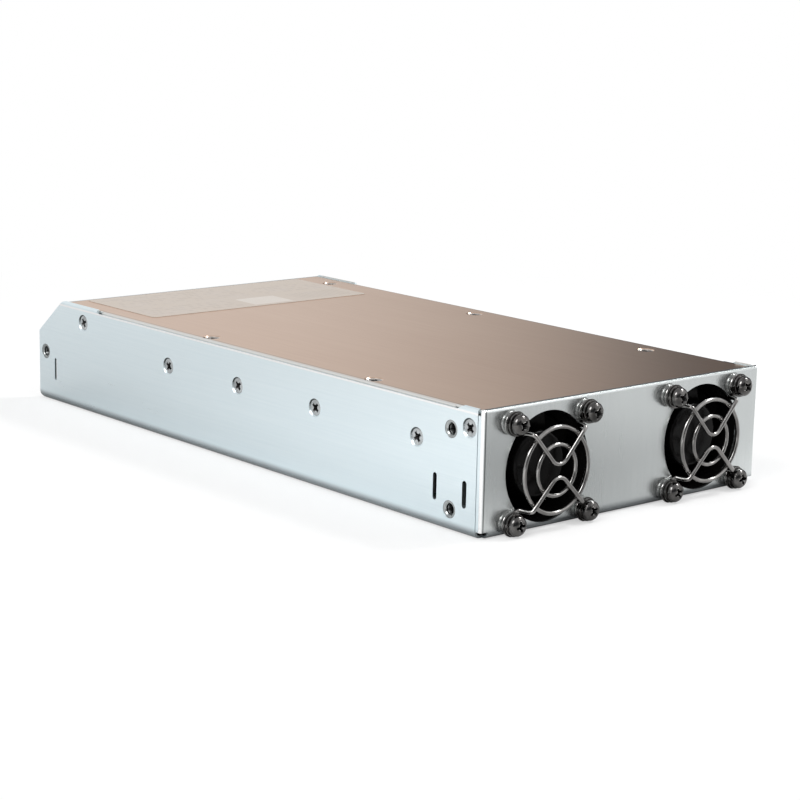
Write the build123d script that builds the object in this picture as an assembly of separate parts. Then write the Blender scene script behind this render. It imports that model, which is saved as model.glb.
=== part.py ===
from build123d import *
import math
import os

os.makedirs("parts", exist_ok=True)

# Frame: X across the width, Y from the fan end to the wiring end, Z up.
# The origin is the middle of the underside. Depths are measured back from the fan end.

# Case
case_width = 127.0
case_length = 260.0
case_height = 41.0
sheet = 0.8
floor_bend = 2.0
top_bend = 1.0
cover_bend = 0.9
cover_drop = 0.6
wall_drop = 1.5
corner_bend = 0.9
seam_gap = 0.3
fit_gap = 0.1

# Front face of the case
return_depth = 2.4
corner_relief = 3.1
side_flange_depth = 10.4

# Tabs along the top of the side walls
front_tab_depth = 9.5
tab_ramp = 2.8
rear_tab_length = 24.0
bend_relief_front = 4.7
bend_relief_rear = 1.8
front_tab_reach = 7.0
rear_tab_reach = 13.0
middle_tab_width = 22.0
middle_tab_depth = 9.0

# Ears at the wiring end
ear_length = 18.5
ear_front_height = 27.0
ear_start_radius = 5.0
ear_corner_radius = 3.0
ear_floor_gap = 5.0

# Cover
cover_flange_height = 2.8
cover_rear_gap = 0.3
label_width = 103.0
label_length = 46.5
label_thickness = 0.15
label_radius = 1.5
label_offset = -2.0
label_rear_gap = 1.0

# Countersunk M3 screws
sink_diameter = 6.4
m3_head = 5.5
m3_thread = 2.9
m3_clearance = 3.1
m3_length = 5.0
m3_cross = 3.1
m3_cross_width = 0.75
m3_cross_depth = 1.0
sink_reach = 9.0
sheet_sink = 3.0
thread_gap = 0.03

# Side screws: depth back from the fan end and height
flange_screw_depth = 6.4
edge_screw_height = 34.4
heatsink_screw_height = 27.0
heatsink_screw_depths = (31.0, 83.2, 127.0, 169.8)
rear_screw_inset = 32.4

# Cover screws: distance in from the left and right walls
left_screw_inset = 4.8
right_screw_inset = 9.0
left_screw_depths = (58.2, 149.0)
right_screw_depths = (44.3, 134.3)
rear_cover_screw_inset = 36.2

# Threaded mounting inserts in the side walls, M4
insert_bore = 3.6
insert_entry = 4.3
insert_shank = 5.7
insert_body = 8.0
insert_length = 3.0
front_insert_depth = 14.75
front_insert_low = 6.9
insert_pitch = 25.7
rear_insert_inset = 4.8
rear_insert_height = 19.2

# Ventilation slots in the side walls
slot_length = 8.8
slot_centre_height = 13.0
front_slots = ((8.0, 2.0), (21.8, 1.8))
rear_slot_inset = 12.0
rear_slot_width = 1.5

# Fans
fan_headroom = 1.5
fan_depth = 28.0
fan_hole_inset = 2.9
fan_inset = 27.7
fan_opening_inset = 0.9
fan_bore_inset = 0.8
fan_flange = 3.5
fan_corner = 2.6
duct_wall = 0.7
strut_count = 4
strut_width = 2.2
strut_rise = 1.0
motor_base = 23.0
motor_base_thickness = 2.0
tube_diameter = 6.4
tube_bore = 5.1
tube_gap = 1.9
bearing_diameter = 5.0
bearing_width = 2.3
shaft_diameter = 2.0
shaft_clearance = 0.04
hub_diameter = 22.0
hub_setback = 2.6
hub_rear_gap = 2.0
hub_wall = 1.5
hub_round = 1.2
boss_diameter = 4.0
boss_height = 3.0
blade_count = 7
blade_tip_gap = 0.5
blade_setback = 1.5
blade_root_pitch = 36.0
blade_tip_pitch = 54.0
blade_root_thickness = 1.5
blade_tip_thickness = 0.9
blade_root_inset = 1.4
blade_tip_inset = 0.4
magnet_wall = 1.1
magnet_inset = 8.4
air_gap = 0.35
stator_inset = 13.4
pole_count = 4
pole_neck = 1.8
pole_shoe = 0.9
coil_wall = 0.8

# Fan screws and washers, M4
m4_head = 7.0
m4_head_height = 2.5
m4_thread = 3.9
m4_clearance = 4.1
m4_length = 10.0
m4_cross = 4.2
m4_cross_width = 1.0
m4_cross_depth = 1.5
dome_share = 1.05
flat_washer = 8.0
flat_washer_thickness = 0.7
spring_washer = 7.4
spring_washer_thickness = 0.9
spring_washer_slit = 0.8

# Finger guards
wire = 1.5
guard_ring_insets = (4.2, 9.8)
guard_ring_offset = 4.1
guard_drop = 0.45
weld_depth = 0.15
guard_tip = 2.2
guard_tip_radius = 3.0
guard_leg_inset = 6.2
guard_rise_inset = 5.1
guard_loop_turn = 300.0
eyelet_radius = 2.9

# Main board
board_lift = 5.0
board_thickness = 1.6
board_side_gap = 2.0
board_front_depth = 33.0
board_rear_gap = 4.0
liner_thickness = 0.3
standoff_diameter = 6.0
standoff_base = 1.0
standoff_inset = 14.0
standoff_end_inset = 12.0
m3_pan_head = 5.5
m3_pan_height = 2.0
seat_gap = 0.1

# Heatsinks
web_thickness = 4.6
ledge_thickness = 4.0
left_ledge = 11.0
right_ledge = 14.0
heatsink_bottom = 9.0
heatsink_margin = 4.5
heatsink_tail = 6.5
fin_thickness = 1.2
fin_drop = 6.5
fin_count = 3
ledge_setback = 2.5

# Devices bolted to the heatsinks
device_width = 15.8
device_headroom = 0.6
device_thickness = 5.0
device_lift = 2.5
device_lead = 1.2
left_devices = (52.0, 75.0, 98.0, 121.0)
right_devices = (52.0, 75.0, 98.0, 121.0, 144.0)
bridge_width = 30.0
bridge_depth = 150.0

# Parts on the board: places are across the case and back from the board's front edge,
# laid out for a board in a case with this room
planned_length = 204.8
planned_half = 62.7
planned_room = 32.2
bulk_diameter = 30.0
bulk_length = 44.0
bulk_place = (-23.0, 22.5)
bulk_pitch = 31.5
bulk_count = 3
choke_outer = 38.0
choke_inner = 18.0
choke_height = 15.0
choke_place = (-23.0, 124.0)
output_choke_place = (25.0, 104.0)
output_choke_scale = 0.85
winding_wrap = 2.2
transformer_size = 42.0
transformer_stack = 15.0
transformer_leg = 12.0
transformer_yoke = 6.5
transformer_place = (25.0, 26.0)
bobbin_wall = 1.2
output_can_diameter = 12.5
output_can_height = 25.0
output_can_place = (11.0, 148.0)
output_can_pitch = 14.5
output_can_rows = 3
output_can_columns = 3
film_size = (26.0, 10.0, 19.0)
film_place = (-28.0, 152.0)
film_pitch = 13.0
line_choke_outer = 27.0
line_choke_inner = 13.0
line_choke_height = 13.0
line_choke_place = (-28.0, 188.0)
relay_size = (19.0, 15.5, 15.0)
relay_place = (-2.0, 192.0)
fuse_diameter = 5.2
fuse_length = 20.0
fuse_cap = 5.5
fuse_place = (-2.0, 160.0)
control_size = (1.6, 58.0, 24.0)
control_place = (2.5, 62.0)
chip_size = (1.8, 10.0, 7.0)
chip_count = 3
header_size = (7.4, 5.8, 6.0)
header_setback = 0.8

# Rear panel and terminals
rear_flange_depth = 20.0
vent_pitch = 5.0
vent_width = 2.6
vent_length = 11.0
vent_count = 21
vent_height = 30.5
terminal_pitch = 9.5
terminal_poles = 3
terminal_depth = 13.0
terminal_height = 14.0
terminal_wall = 1.2
terminal_place = -34.0
terminal_lug = 0.8
terminal_screw = 3.0
terminal_head = (5.6, 2.2)
terminal_cross = (3.2, 0.9, 0.8)
terminal_bite = 0.4
bar_width = 16.0
bar_thickness = 2.5
bar_reach = 12.0
bar_lift = 4.0
bar_places = (20.0, 42.0)
bar_foot = 8.0
bar_hole = 5.2
bar_screw = 5.0
bar_nut = 8.0
bar_nut_height = 4.0
bar_head = (9.0, 3.2)
bar_cross = (5.0, 1.2, 1.6)
bar_screw_reach = 4.5
signal_size = (18.0, 9.0, 8.5)
signal_place = -4.0
cutout_gap = 0.8

# Values worked out from the sizes above
half_width = case_width / 2
wall_inside = half_width - sheet
front = -case_length / 2
rear = case_length / 2
fan_size = case_height - 2 * sheet - fit_gap - fan_headroom
fan_height = sheet + fit_gap + fan_size / 2
fan_pitch = fan_size - 2 * fan_hole_inset
fan_opening = fan_size - 2 * fan_opening_inset
fan_bore = fan_size - 2 * fan_bore_inset
fan_front = front + sheet + fit_gap
fan_places = (fan_inset - half_width, half_width - fan_inset)
hub_depth = fan_depth - hub_setback - motor_base_thickness - hub_rear_gap
tube_length = hub_depth - hub_wall - boss_height + hub_rear_gap - strut_rise - tube_gap
magnet_length = hub_depth - magnet_inset
stator_length = hub_depth - stator_inset
blade_root_chord = hub_depth - blade_root_inset
blade_tip_chord = hub_depth - blade_tip_inset
guard_rings = [fan_opening / 2 - inset for inset in guard_ring_insets]
guard_leg_end = fan_pitch / 2 - guard_leg_inset
guard_leg_rise = fan_pitch / 2 - guard_rise_inset
wall_start = return_depth + seam_gap
lip_depth = top_bend + 0.3
cover_end = case_length - ear_length
cover_top = case_height - cover_drop
cover_under = cover_top - sheet
tab_top = cover_under - fit_gap
wall_top = case_height - wall_drop
rear_tab_start = cover_end - rear_tab_length
cover_flange_start = front_tab_depth + bend_relief_front
cover_flange_end = rear_tab_start - bend_relief_rear
cover_half = half_width - top_bend - seam_gap
flange_half = wall_inside - seam_gap
rear_panel_front = cover_end + cover_rear_gap
board_bottom = sheet + board_lift
board_top = board_bottom + board_thickness
board_rear = rear_panel_front - board_rear_gap
heatsink_side = wall_inside - fit_gap
heatsink_start = heatsink_screw_depths[0] - heatsink_margin
heatsink_end = heatsink_screw_depths[-1] + heatsink_tail
fan_edge = floor_bend - sheet - seam_gap
stack_height = wire + flat_washer_thickness + spring_washer_thickness
guard_bar_offset = guard_ring_offset + wire - weld_depth
screw_sink = (sink_diameter - m3_head) / 2 - thread_gap
device_bottom = board_top + device_lift
device_height = tab_top - ledge_thickness - fin_drop - device_headroom - device_bottom
length_fit = (board_rear - board_front_depth) / planned_length
width_fit = wall_inside / planned_half
room_fit = (cover_under - board_top) / planned_room
plan_fit = min(length_fit, width_fit)
small_fit = min(plan_fit, room_fit)
core_size = transformer_size * small_fit
core_stack = transformer_stack * small_fit
core_leg = transformer_leg * small_fit
core_yoke = transformer_yoke * small_fit


def back(depth):
    return front + depth


def block(x, y, z):
    """A rectangular volume between pairs of limits."""
    size = [high - low for low, high in (x, y, z)]
    middle = [(high + low) / 2 for low, high in (x, y, z)]
    return Pos(*middle) * Box(*size)


def along_x(section, start, end):
    """A section drawn in Y and Z, drawn out across the case."""
    plane = Plane(origin=(start, 0, 0), x_dir=(0, 1, 0), z_dir=(1, 0, 0))
    return extrude(plane * section, end - start)


def along_y(section, start, end):
    """A section drawn in X and Z, drawn out along the case."""
    plane = Plane(origin=(0, end, 0), x_dir=(1, 0, 0), z_dir=(0, -1, 0))
    return extrude(plane * section, end - start)


def along_z(section, start, end):
    """A section drawn in X and Y, drawn out upwards."""
    return extrude(Plane.XY.offset(start) * section, end - start)


def rod_y(diameter, x, z, start, end):
    return along_y(Pos(x, z) * Circle(diameter / 2), start, end)


def rod_z(diameter, x, y, start, end):
    return along_z(Pos(x, y) * Circle(diameter / 2), start, end)


def mirrored(shape):
    return mirror(shape, Plane.YZ)


def both_sides(shape):
    return [shape, mirrored(shape)]


def save(name, *pieces):
    """Write one sub-part; loose pieces of one kind share a file."""
    solids = []
    for piece in pieces:
        solids.extend(piece.solids())
    shape = solids[0] if len(solids) == 1 else Compound(solids)
    export_step(shape, "parts/" + name + ".step")


def facing(x, y, z, outward):
    """A plane at a surface point; its normal points out of the case."""
    x_dir = (0, 1, 0) if abs(outward[0]) > 0 else (1, 0, 0)
    return Plane(origin=(x, y, z), x_dir=x_dir, z_dir=outward)


# Fasteners

def sink_cutter(depth=sink_reach):
    """Countersink and clearance hole, cut down from the surface."""
    sink = (sink_diameter - m3_clearance) / 2
    cone = Pos(0, 0, -sink / 2) * Cone(m3_clearance / 2, sink_diameter / 2, sink)
    return cone + Pos(0, 0, -depth / 2) * Cylinder(m3_clearance / 2, depth)


def cross_cutter(length, width, depth):
    """Cross recess with tapered walls, cut down from the head's top."""
    cross = Rectangle(length, width) + Rectangle(width, length)
    return extrude(Plane.XY * cross, -depth, taper=10)


def countersunk_screw():
    top = -screw_sink
    cone_depth = (m3_head - m3_thread) / 2
    head = Pos(0, 0, top - cone_depth / 2) * Cone(m3_thread / 2, m3_head / 2, cone_depth)
    shank = Pos(0, 0, top - m3_length / 2) * Cylinder(m3_thread / 2, m3_length)
    recess = Pos(0, 0, top) * cross_cutter(m3_cross, m3_cross_width, m3_cross_depth)
    return head + shank - recess


def pan_screw(head, height, thread, length, cross=0.0, cross_width=0.0, cross_depth=0.0):
    """Domed head standing on z = 0 with its shank below."""
    radius = head / 2
    ball = dome_share * (radius**2 + height**2) / (2 * height)
    shape = Pos(0, 0, height / 2) * Cylinder(radius, height)
    shape &= Pos(0, 0, height - ball) * Sphere(ball)
    shape += Pos(0, 0, -length / 2) * Cylinder(thread / 2, length)
    if cross:
        bars = Rectangle(cross, cross_width) + Rectangle(cross_width, cross)
        shape -= along_z(bars, height - cross_depth, height + 1)
    return shape


def side_screw_places():
    """Depth and height of the screws in one side wall."""
    places = [(flange_screw_depth, edge_screw_height)]
    places += [(depth, heatsink_screw_height) for depth in heatsink_screw_depths]
    places.append((case_length - rear_screw_inset, edge_screw_height))
    return places


def left_wall_planes():
    return [facing(-half_width, back(depth), height, (-1, 0, 0)) for depth, height in side_screw_places()]


def cover_screw_planes():
    places = [(-half_width + left_screw_inset, depth) for depth in left_screw_depths]
    places += [(half_width - right_screw_inset, depth) for depth in right_screw_depths]
    places.append((half_width - right_screw_inset, case_length - rear_cover_screw_inset))
    return [facing(x, back(depth), cover_top, (0, 0, 1)) for x, depth in places]


def insert_places():
    """Depth and height of the mounting inserts in one side wall."""
    return [
        (front_insert_depth, front_insert_low),
        (front_insert_depth, front_insert_low + insert_pitch),
        (case_length - rear_insert_inset, rear_insert_height),
    ]


def fan_hole_places():
    half = fan_pitch / 2
    return [(x + i * half, fan_height + j * half) for x in fan_places for i in (-1, 1) for j in (-1, 1)]


# Chassis tray

def rounded_channel(width, height, radius):
    """Solid section standing on z = 0 with rounded lower corners."""
    shape = Rectangle(width, height, align=(Align.CENTER, Align.MIN))
    return fillet(shape.vertices().group_by(Axis.Y)[0], radius)


def wall_outline():
    """Side view of one wall: tabs full height, middle cut down, ear sloped."""
    end = case_length
    slope = (case_height - ear_front_height) / (ear_length - 1.0)
    points = [
        (wall_start, 0),
        (end, 0),
        (end, ear_front_height),
        (end - (case_height - ear_front_height) / slope, case_height),
        (rear_tab_start, case_height),
        (rear_tab_start, wall_top),
        (front_tab_depth + tab_ramp, wall_top),
        (front_tab_depth, case_height),
        (wall_start, case_height),
    ]
    outline = make_face(Polyline([(back(depth), height) for depth, height in points], close=True))
    corners = outline.vertices().sort_by(Axis.X)
    lower = corners[-2:].sort_by(Axis.Y)[0]
    outline = fillet(lower, ear_corner_radius)
    corners = outline.vertices()
    ear_start = corners.filter_by(lambda v: v.Y > wall_top + 0.1).sort_by(Axis.X)[-1]
    return fillet(ear_start, ear_start_radius)


def side_channel():
    """Floor and side walls, folded up from one sheet."""
    outer = rounded_channel(case_width, case_height, floor_bend)
    outer = fillet(outer.vertices().group_by(Axis.Y)[-1], top_bend)
    inner = Pos(0, sheet) * rounded_channel(case_width - 2 * sheet, case_height, floor_bend - sheet)
    channel = along_y(outer - inner, back(wall_start), rear)
    channel &= along_x(wall_outline(), -half_width, half_width)
    floor_half = half_width - corner_relief
    floor_end = case_length - ear_floor_gap
    channel -= block((-floor_half, floor_half), (back(floor_end), rear + 1), (-1, sheet + 1))
    return channel


def front_shell(width, height, depth, top_radius, bottom_radius, side_radius):
    """Block with the rounded edges of a folded front."""
    side = Pos(depth / 2, height / 2) * Rectangle(depth, height)
    low_edge = side.vertices().group_by(Axis.X)[0].sort_by(Axis.Y)[0]
    side = fillet(low_edge, bottom_radius)
    high_edge = side.vertices().sort_by(Axis.Y)[-2:].sort_by(Axis.X)[0]
    side = fillet(high_edge, top_radius)
    plan = Pos(0, depth / 2) * Rectangle(width, depth)
    plan = fillet(plan.vertices().group_by(Axis.Y)[0], side_radius)
    return along_x(side, -width / 2, width / 2) & along_z(plan, 0, height)


def front_cap():
    """Fan panel with its bends: floor below, lip above, returns at the sides."""
    cap = front_shell(case_width, case_height, wall_start, top_bend, floor_bend, corner_bend)
    inner = front_shell(
        case_width - 2 * sheet,
        case_height - 2 * sheet,
        wall_start,
        top_bend - sheet,
        floor_bend - sheet,
        corner_bend - sheet / 2,
    )
    cap -= Pos(0, sheet, sheet) * inner
    open_half = half_width + 1
    cap -= block((-open_half, open_half), (lip_depth, wall_start + 1), (cover_under - 0.6, case_height + 1))
    seam = block((wall_inside - 0.3, open_half), (return_depth, wall_start + 1), (0, case_height))
    for side in both_sides(seam):
        cap -= side
    relief = block(
        (half_width - corner_relief, open_half),
        (-1, wall_start + 1),
        (-1, corner_relief - sheet),
    )
    for side in both_sides(relief):
        cap -= side
    return Pos(0, front, 0) * cap


def side_return():
    """Flange set in behind the left wall, joined to the front panel's return."""
    outer = -(wall_inside - fit_gap)
    low = corner_relief
    high = tab_top - sheet - 0.5
    start = back(return_depth - sheet)
    flange = block((outer, outer + sheet), (start, back(side_flange_depth)), (low, high))
    joggle = block((-half_width + 0.3, outer + sheet), (start, back(return_depth)), (low, high))
    return flange + joggle


def wall_tab(start, end, reach):
    """Bend at the top of the left wall, stepped down to run under the cover."""
    radius = top_bend
    corner = Pos(-half_width + radius, case_height - radius)
    bend = corner * (Circle(radius) - Circle(radius - sheet))
    quarter = Pos(-half_width + radius / 2, case_height - radius / 2) * Rectangle(radius, radius)
    bend &= quarter
    shelf_top = tab_top
    shelf = Pos(-half_width + radius + (reach - radius) / 2 - 0.2, shelf_top - sheet / 2)
    shelf *= Rectangle(reach - radius + 0.4, sheet)
    step_top = case_height - sheet / 2
    step_low = shelf_top - sheet
    step = Pos(-half_width + radius - 0.2, (step_top + step_low) / 2) * Rectangle(0.5, step_top - step_low)
    return along_y(bend + shelf + step, back(start), back(end))


def wall_openings():
    """Holes and slots through the left wall."""
    cuts = []
    for depth, height in insert_places():
        hole = Pos(back(depth), height) * Circle(insert_shank / 2 + 0.05)
        cuts.append(along_x(hole, -half_width - 1, -wall_inside + 1))
    slots = [(depth, width) for depth, width in front_slots]
    slots.append((case_length - rear_slot_inset, rear_slot_width))
    for depth, width in slots:
        slot = Pos(back(depth), slot_centre_height) * Rot(0, 0, 90) * SlotOverall(slot_length, width)
        cuts.append(along_x(slot, -half_width - 1, -wall_inside + 1.5))
    for plane in left_wall_planes():
        cuts.append(plane * sink_cutter(sheet_sink))
    return cuts


def chassis_tray():
    tray = side_channel() + front_cap()
    lip = block(
        (-middle_tab_width / 2, middle_tab_width / 2),
        (back(sheet), back(middle_tab_depth)),
        (tab_top - sheet, tab_top),
    )
    tray += lip
    left = [
        side_return(),
        wall_tab(wall_start, front_tab_depth, front_tab_reach),
        wall_tab(rear_tab_start, cover_end, rear_tab_reach),
    ]
    for piece in left:
        for side in both_sides(piece):
            tray += side
    for cut in wall_openings():
        for side in both_sides(cut):
            tray -= side
    for x in fan_places:
        tray -= rod_y(fan_opening, x, fan_height, front - 1, front + sheet + 1)
    for x, z in fan_hole_places():
        tray -= rod_y(m4_clearance, x, z, front - 1, front + sheet + 1)
    tray -= cover_screw_planes()[-1] * sink_cutter()
    standoff_hole = standoff_diameter / 2
    for x, y in standoff_places():
        tray -= rod_z(standoff_hole, x, y, -1, sheet + 1)
    return tray


# Cover and label

def top_cover():
    """Flat cover with flanges down inside the walls between the tabs."""
    outer = Rectangle(2 * flange_half, cover_flange_height + sheet, align=(Align.CENTER, Align.MAX))
    outer = fillet(outer.vertices().group_by(Axis.Y)[-1], cover_bend)
    inner = Rectangle(2 * (flange_half - sheet), cover_flange_height + sheet, align=(Align.CENTER, Align.MAX))
    inner = fillet(inner.vertices().group_by(Axis.Y)[-1], cover_bend - sheet)
    section = Pos(0, cover_top) * (outer - Pos(0, -sheet) * inner)
    cover = along_y(section, back(cover_flange_start), back(cover_flange_end))
    front_end = (back(lip_depth + seam_gap), back(cover_flange_start))
    rear_end = (back(cover_flange_end), back(cover_end))
    for limits in (front_end, rear_end):
        cover += block((-cover_half, cover_half), limits, (cover_under, cover_top))
    for plane in cover_screw_planes():
        cover -= plane * sink_cutter(sheet_sink)
    return cover


def rating_label():
    end = back(cover_end - label_rear_gap)
    sheet_shape = Pos(label_offset, end - label_length / 2)
    sheet_shape *= RectangleRounded(label_width, label_length, label_radius)
    return along_z(sheet_shape, cover_top, cover_top + label_thickness)


# Side wall hardware

def mounting_insert():
    """Clinched insert: shank in the wall, body inside, threaded bore."""
    shank = Pos(0, 0, -sheet / 2 - 0.1) * Cylinder(insert_shank / 2, sheet)
    body = Pos(0, 0, -sheet - fit_gap - insert_length / 2) * Cylinder(insert_body / 2, insert_length)
    depth = sheet + fit_gap + insert_length
    bore = Pos(0, 0, -depth / 2) * Cylinder(insert_bore / 2, depth + 2)
    chamfer_depth = (insert_entry - insert_bore) / 2
    entry = Pos(0, 0, -0.1 - chamfer_depth / 2) * Cone(insert_bore / 2, insert_entry / 2, chamfer_depth)
    return shank + body - bore - entry


# Fans

def on_fan(section, x, start, end):
    """A section about the fan's axis, drawn out between two depths behind its front."""
    return along_y(Pos(x, fan_height) * section, fan_front + start, fan_front + end)


def fan_frame(x):
    half = fan_pitch / 2
    square = RectangleRounded(fan_size, fan_size, fan_corner)
    holes = [Pos(i * half, j * half) * Circle(m4_clearance / 2) for i in (-1, 1) for j in (-1, 1)]
    flange = square - holes
    duct = Circle(fan_bore / 2 + duct_wall) & square
    front_flange = on_fan(square, x, 0, fan_flange)
    front_flange = chamfer(front_flange.faces().sort_by(Axis.Y)[0].edges(), fan_edge)
    frame = front_flange & on_fan(flange, x, 0, fan_flange)
    frame += on_fan(flange, x, fan_depth - fan_flange, fan_depth)
    frame += on_fan(duct, x, fan_flange, fan_depth)
    frame -= on_fan(Circle(fan_bore / 2), x, -1, fan_depth + 1)
    base_start = fan_depth - motor_base_thickness
    frame += on_fan(Circle(motor_base / 2), x, base_start, fan_depth)
    reach = fan_bore / 2 + duct_wall / 2
    for index in range(strut_count):
        strut = Rot(0, 0, 45 + 360 / strut_count * index) * Pos(reach / 2, 0) * Rectangle(reach, strut_width)
        frame += on_fan(strut, x, base_start - strut_rise, fan_depth)
    frame += on_fan(Circle(tube_diameter / 2), x, base_start - tube_length, base_start)
    frame -= on_fan(Circle(tube_bore / 2), x, base_start - tube_length - 1, fan_depth - 0.6)
    return frame


def fan_bearings(x):
    ring = Circle(bearing_diameter / 2) - Circle(shaft_diameter / 2 + shaft_clearance)
    tube_end = fan_depth - motor_base_thickness
    first = tube_end - tube_length + 0.3
    last = tube_end - bearing_width
    return [on_fan(ring, x, place, place + bearing_width) for place in (first, last)]


def fan_shaft(x):
    start = hub_setback + hub_wall - 0.6
    return on_fan(Circle(shaft_diameter / 2), x, start, fan_depth - motor_base_thickness)


def blade():
    """One twisted blade about the Z axis, drawn out from root to tip."""
    sections = []
    stations = (
        (hub_diameter / 4, blade_root_pitch, blade_root_chord, blade_root_thickness),
        (fan_bore / 2 + 1.0, blade_tip_pitch, blade_tip_chord, blade_tip_thickness),
    )
    for radius, pitch, chord, thickness in stations:
        camber = chord * 0.09
        half = chord / 2
        outer = ThreePointArc((-half, 0), (0, camber + thickness / 2), (half, 0))
        inner = ThreePointArc((-half, 0), (0, camber - thickness / 2), (half, 0))
        plane = Plane(origin=(radius, 0, 0), x_dir=(0, 0, 1), z_dir=(1, 0, 0))
        sections.append(plane * Rot(0, 0, pitch) * make_face([outer, inner]))
    return loft(sections)


def impeller(x):
    """Hub cup open to the rear with twisted blades around it."""
    outer = hub_diameter / 2
    tip = fan_bore / 2 - blade_tip_gap
    cup = extrude(Circle(outer), -hub_depth)
    cup = fillet(cup.edges().group_by(Axis.Z)[-1], hub_round)
    cavity = Pos(0, 0, -hub_wall) * extrude(Circle(outer - hub_wall), -hub_depth)
    root = Pos(0, 0, 1) * extrude(Circle(outer - hub_wall / 2), -hub_depth - 2)
    room_top = Pos(0, 0, hub_setback - blade_setback) * extrude(Circle(tip), -(hub_depth - 1.5))
    middle = Pos(0, 0, -hub_depth / 2 + 0.7)
    shape = cup - cavity
    single = (middle * blade() & room_top) - root
    for index in range(blade_count):
        shape += Rot(0, 0, 360 / blade_count * index) * single
    boss = Pos(0, 0, -hub_wall) * extrude(Circle(boss_diameter / 2), -boss_height)
    shape += boss
    shape -= Pos(0, 0, -hub_wall + 0.65) * extrude(Circle(shaft_diameter / 2 + 0.02), -hub_depth)
    turn = Plane(origin=(x, fan_front + hub_setback, fan_height), x_dir=(1, 0, 0), z_dir=(0, -1, 0))
    return turn * shape


def magnet_outer():
    return hub_diameter / 2 - hub_wall - fit_gap


def magnet_ring(x):
    outer = magnet_outer()
    ring = Circle(outer) - Circle(outer - magnet_wall)
    end = hub_setback + hub_depth
    return on_fan(ring, x, end - magnet_length, end)


def stator_places():
    """Rear and front faces of the stator, clear of the motor base."""
    rear_face = hub_setback + hub_depth - 2.0
    return rear_face - stator_length, rear_face


def fan_stator(x):
    outer = magnet_outer() - magnet_wall - air_gap
    inner = tube_diameter / 2 + fit_gap
    hub = Circle(inner + 1.1)
    shoes = Circle(outer) - Circle(outer - pole_shoe)
    gap = Rectangle(2 * outer + 2, pole_neck)
    for index in range(pole_count):
        turn = Rot(0, 0, 360 / pole_count * index)
        hub += turn * Pos(outer / 2, 0) * Rectangle(outer - 0.4, pole_neck)
    for index in range(pole_count // 2):
        shoes -= Rot(0, 0, 45 + 180 / (pole_count // 2) * index) * gap
    start, end = stator_places()
    return on_fan(hub + shoes - Circle(inner), x, start, end)


def fan_coils(x):
    """One coil on each pole neck."""
    half_wide = pole_neck / 2 + coil_wall
    reach = magnet_outer() - magnet_wall - air_gap - pole_shoe - fit_gap
    outer = math.sqrt(reach**2 - half_wide**2)
    inner = tube_diameter / 2 + fit_gap + 1.3
    start, end = stator_places()
    coils = []
    for index in range(pole_count):
        turn = Rot(0, 360 / pole_count * index, 0)
        length = outer - inner
        middle = (outer + inner) / 2
        coil = Pos(middle, 0, 0) * Box(length, stator_length + 2 * coil_wall, 2 * half_wide)
        coil -= Pos(middle, 0, 0) * Box(length + 1, stator_length + 0.2, pole_neck + 0.2)
        place = Pos(x, fan_front + (start + end) / 2, fan_height)
        coils.append(place * turn * coil)
    return coils


# Finger guards

def wire_sweep(path, start_tangent):
    plane = Plane(origin=path @ 0, z_dir=start_tangent)
    return sweep(plane * Circle(wire / 2), path=path)


def guard_bar(drop):
    """Half of a bent wire, drawn in X and Y with Z as its height off the panel.
    The tip is nearer to the middle by the drop."""
    eye = Vector(fan_pitch / 2, fan_pitch / 2, wire / 2)
    leg_end = Vector(guard_leg_end, guard_leg_rise, guard_bar_offset)
    low = Vector(0, guard_tip - drop, guard_bar_offset)
    centre = low + Vector(0, guard_tip_radius, 0)
    reach = leg_end - centre
    turn = math.atan2(reach.Y, reach.X) - math.acos(guard_tip_radius / reach.length)
    turn_start = centre + Vector(math.cos(turn), math.sin(turn), 0) * guard_tip_radius
    leg = (leg_end - turn_start).normalized()
    turn_end = Vector(-turn_start.X, turn_start.Y, turn_start.Z)
    across = Vector(eye.X - leg_end.X, eye.Y - leg_end.Y, 0)
    lean = math.asin(eyelet_radius / across.length)
    heading = math.atan2(across.Y, across.X) - lean
    foot = Vector(math.cos(heading), math.sin(heading), 0)
    meet_angle = math.degrees(heading) + 90
    meet = eye + Vector(math.cos(heading + math.pi / 2), math.sin(heading + math.pi / 2), 0) * -eyelet_radius
    clear = flat_washer / 2 + wire / 2 + fit_gap
    landing = meet - foot * math.sqrt(clear**2 - eyelet_radius**2)
    tip = ThreePointArc(turn_start, low, turn_end)
    straight = Line(turn_start, leg_end)
    ramp = Spline(leg_end, landing, tangents=(leg, foot))
    approach = Line(landing, meet)
    loop = Plane(origin=eye) * CenterArc((0, 0), eyelet_radius, meet_angle + 180, guard_loop_turn)
    return tip, [straight, ramp, approach, loop]


def bent_bar(drop):
    tip, half_bar = guard_bar(drop)
    shape = wire_sweep(tip, tip % 0)
    for edge in half_bar + [mirrored(edge) for edge in half_bar]:
        shape += wire_sweep(edge, edge % 0)
    return shape


def finger_guard(x):
    """Two welded rings and two bent wires with an eyelet at each end."""
    shape = bent_bar(guard_drop) + mirror(bent_bar(-guard_drop), Plane.XZ)
    for radius in guard_rings:
        shape += Pos(0, -guard_drop, guard_ring_offset) * Torus(radius, wire / 2)
    turn = Plane(origin=(x, front, fan_height), x_dir=(1, 0, 0), z_dir=(0, -1, 0))
    return turn * shape


def fan_screws():
    shape = pan_screw(m4_head, m4_head_height, m4_thread, m4_length, m4_cross, m4_cross_width, m4_cross_depth)
    planes = [facing(x, front - stack_height, z, (0, -1, 0)) for x, z in fan_hole_places()]
    return [plane * shape for plane in planes]


def fan_washers(diameter, start, thickness, slit=0.0):
    ring = Circle(diameter / 2) - Circle(m4_clearance / 2)
    if slit:
        ring -= Rot(0, 0, 60) * Pos(diameter / 2, 0) * Rectangle(diameter / 2, slit)
    return [along_y(Pos(x, z) * ring, front - start - thickness, front - start) for x, z in fan_hole_places()]


# Board and what holds it

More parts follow.
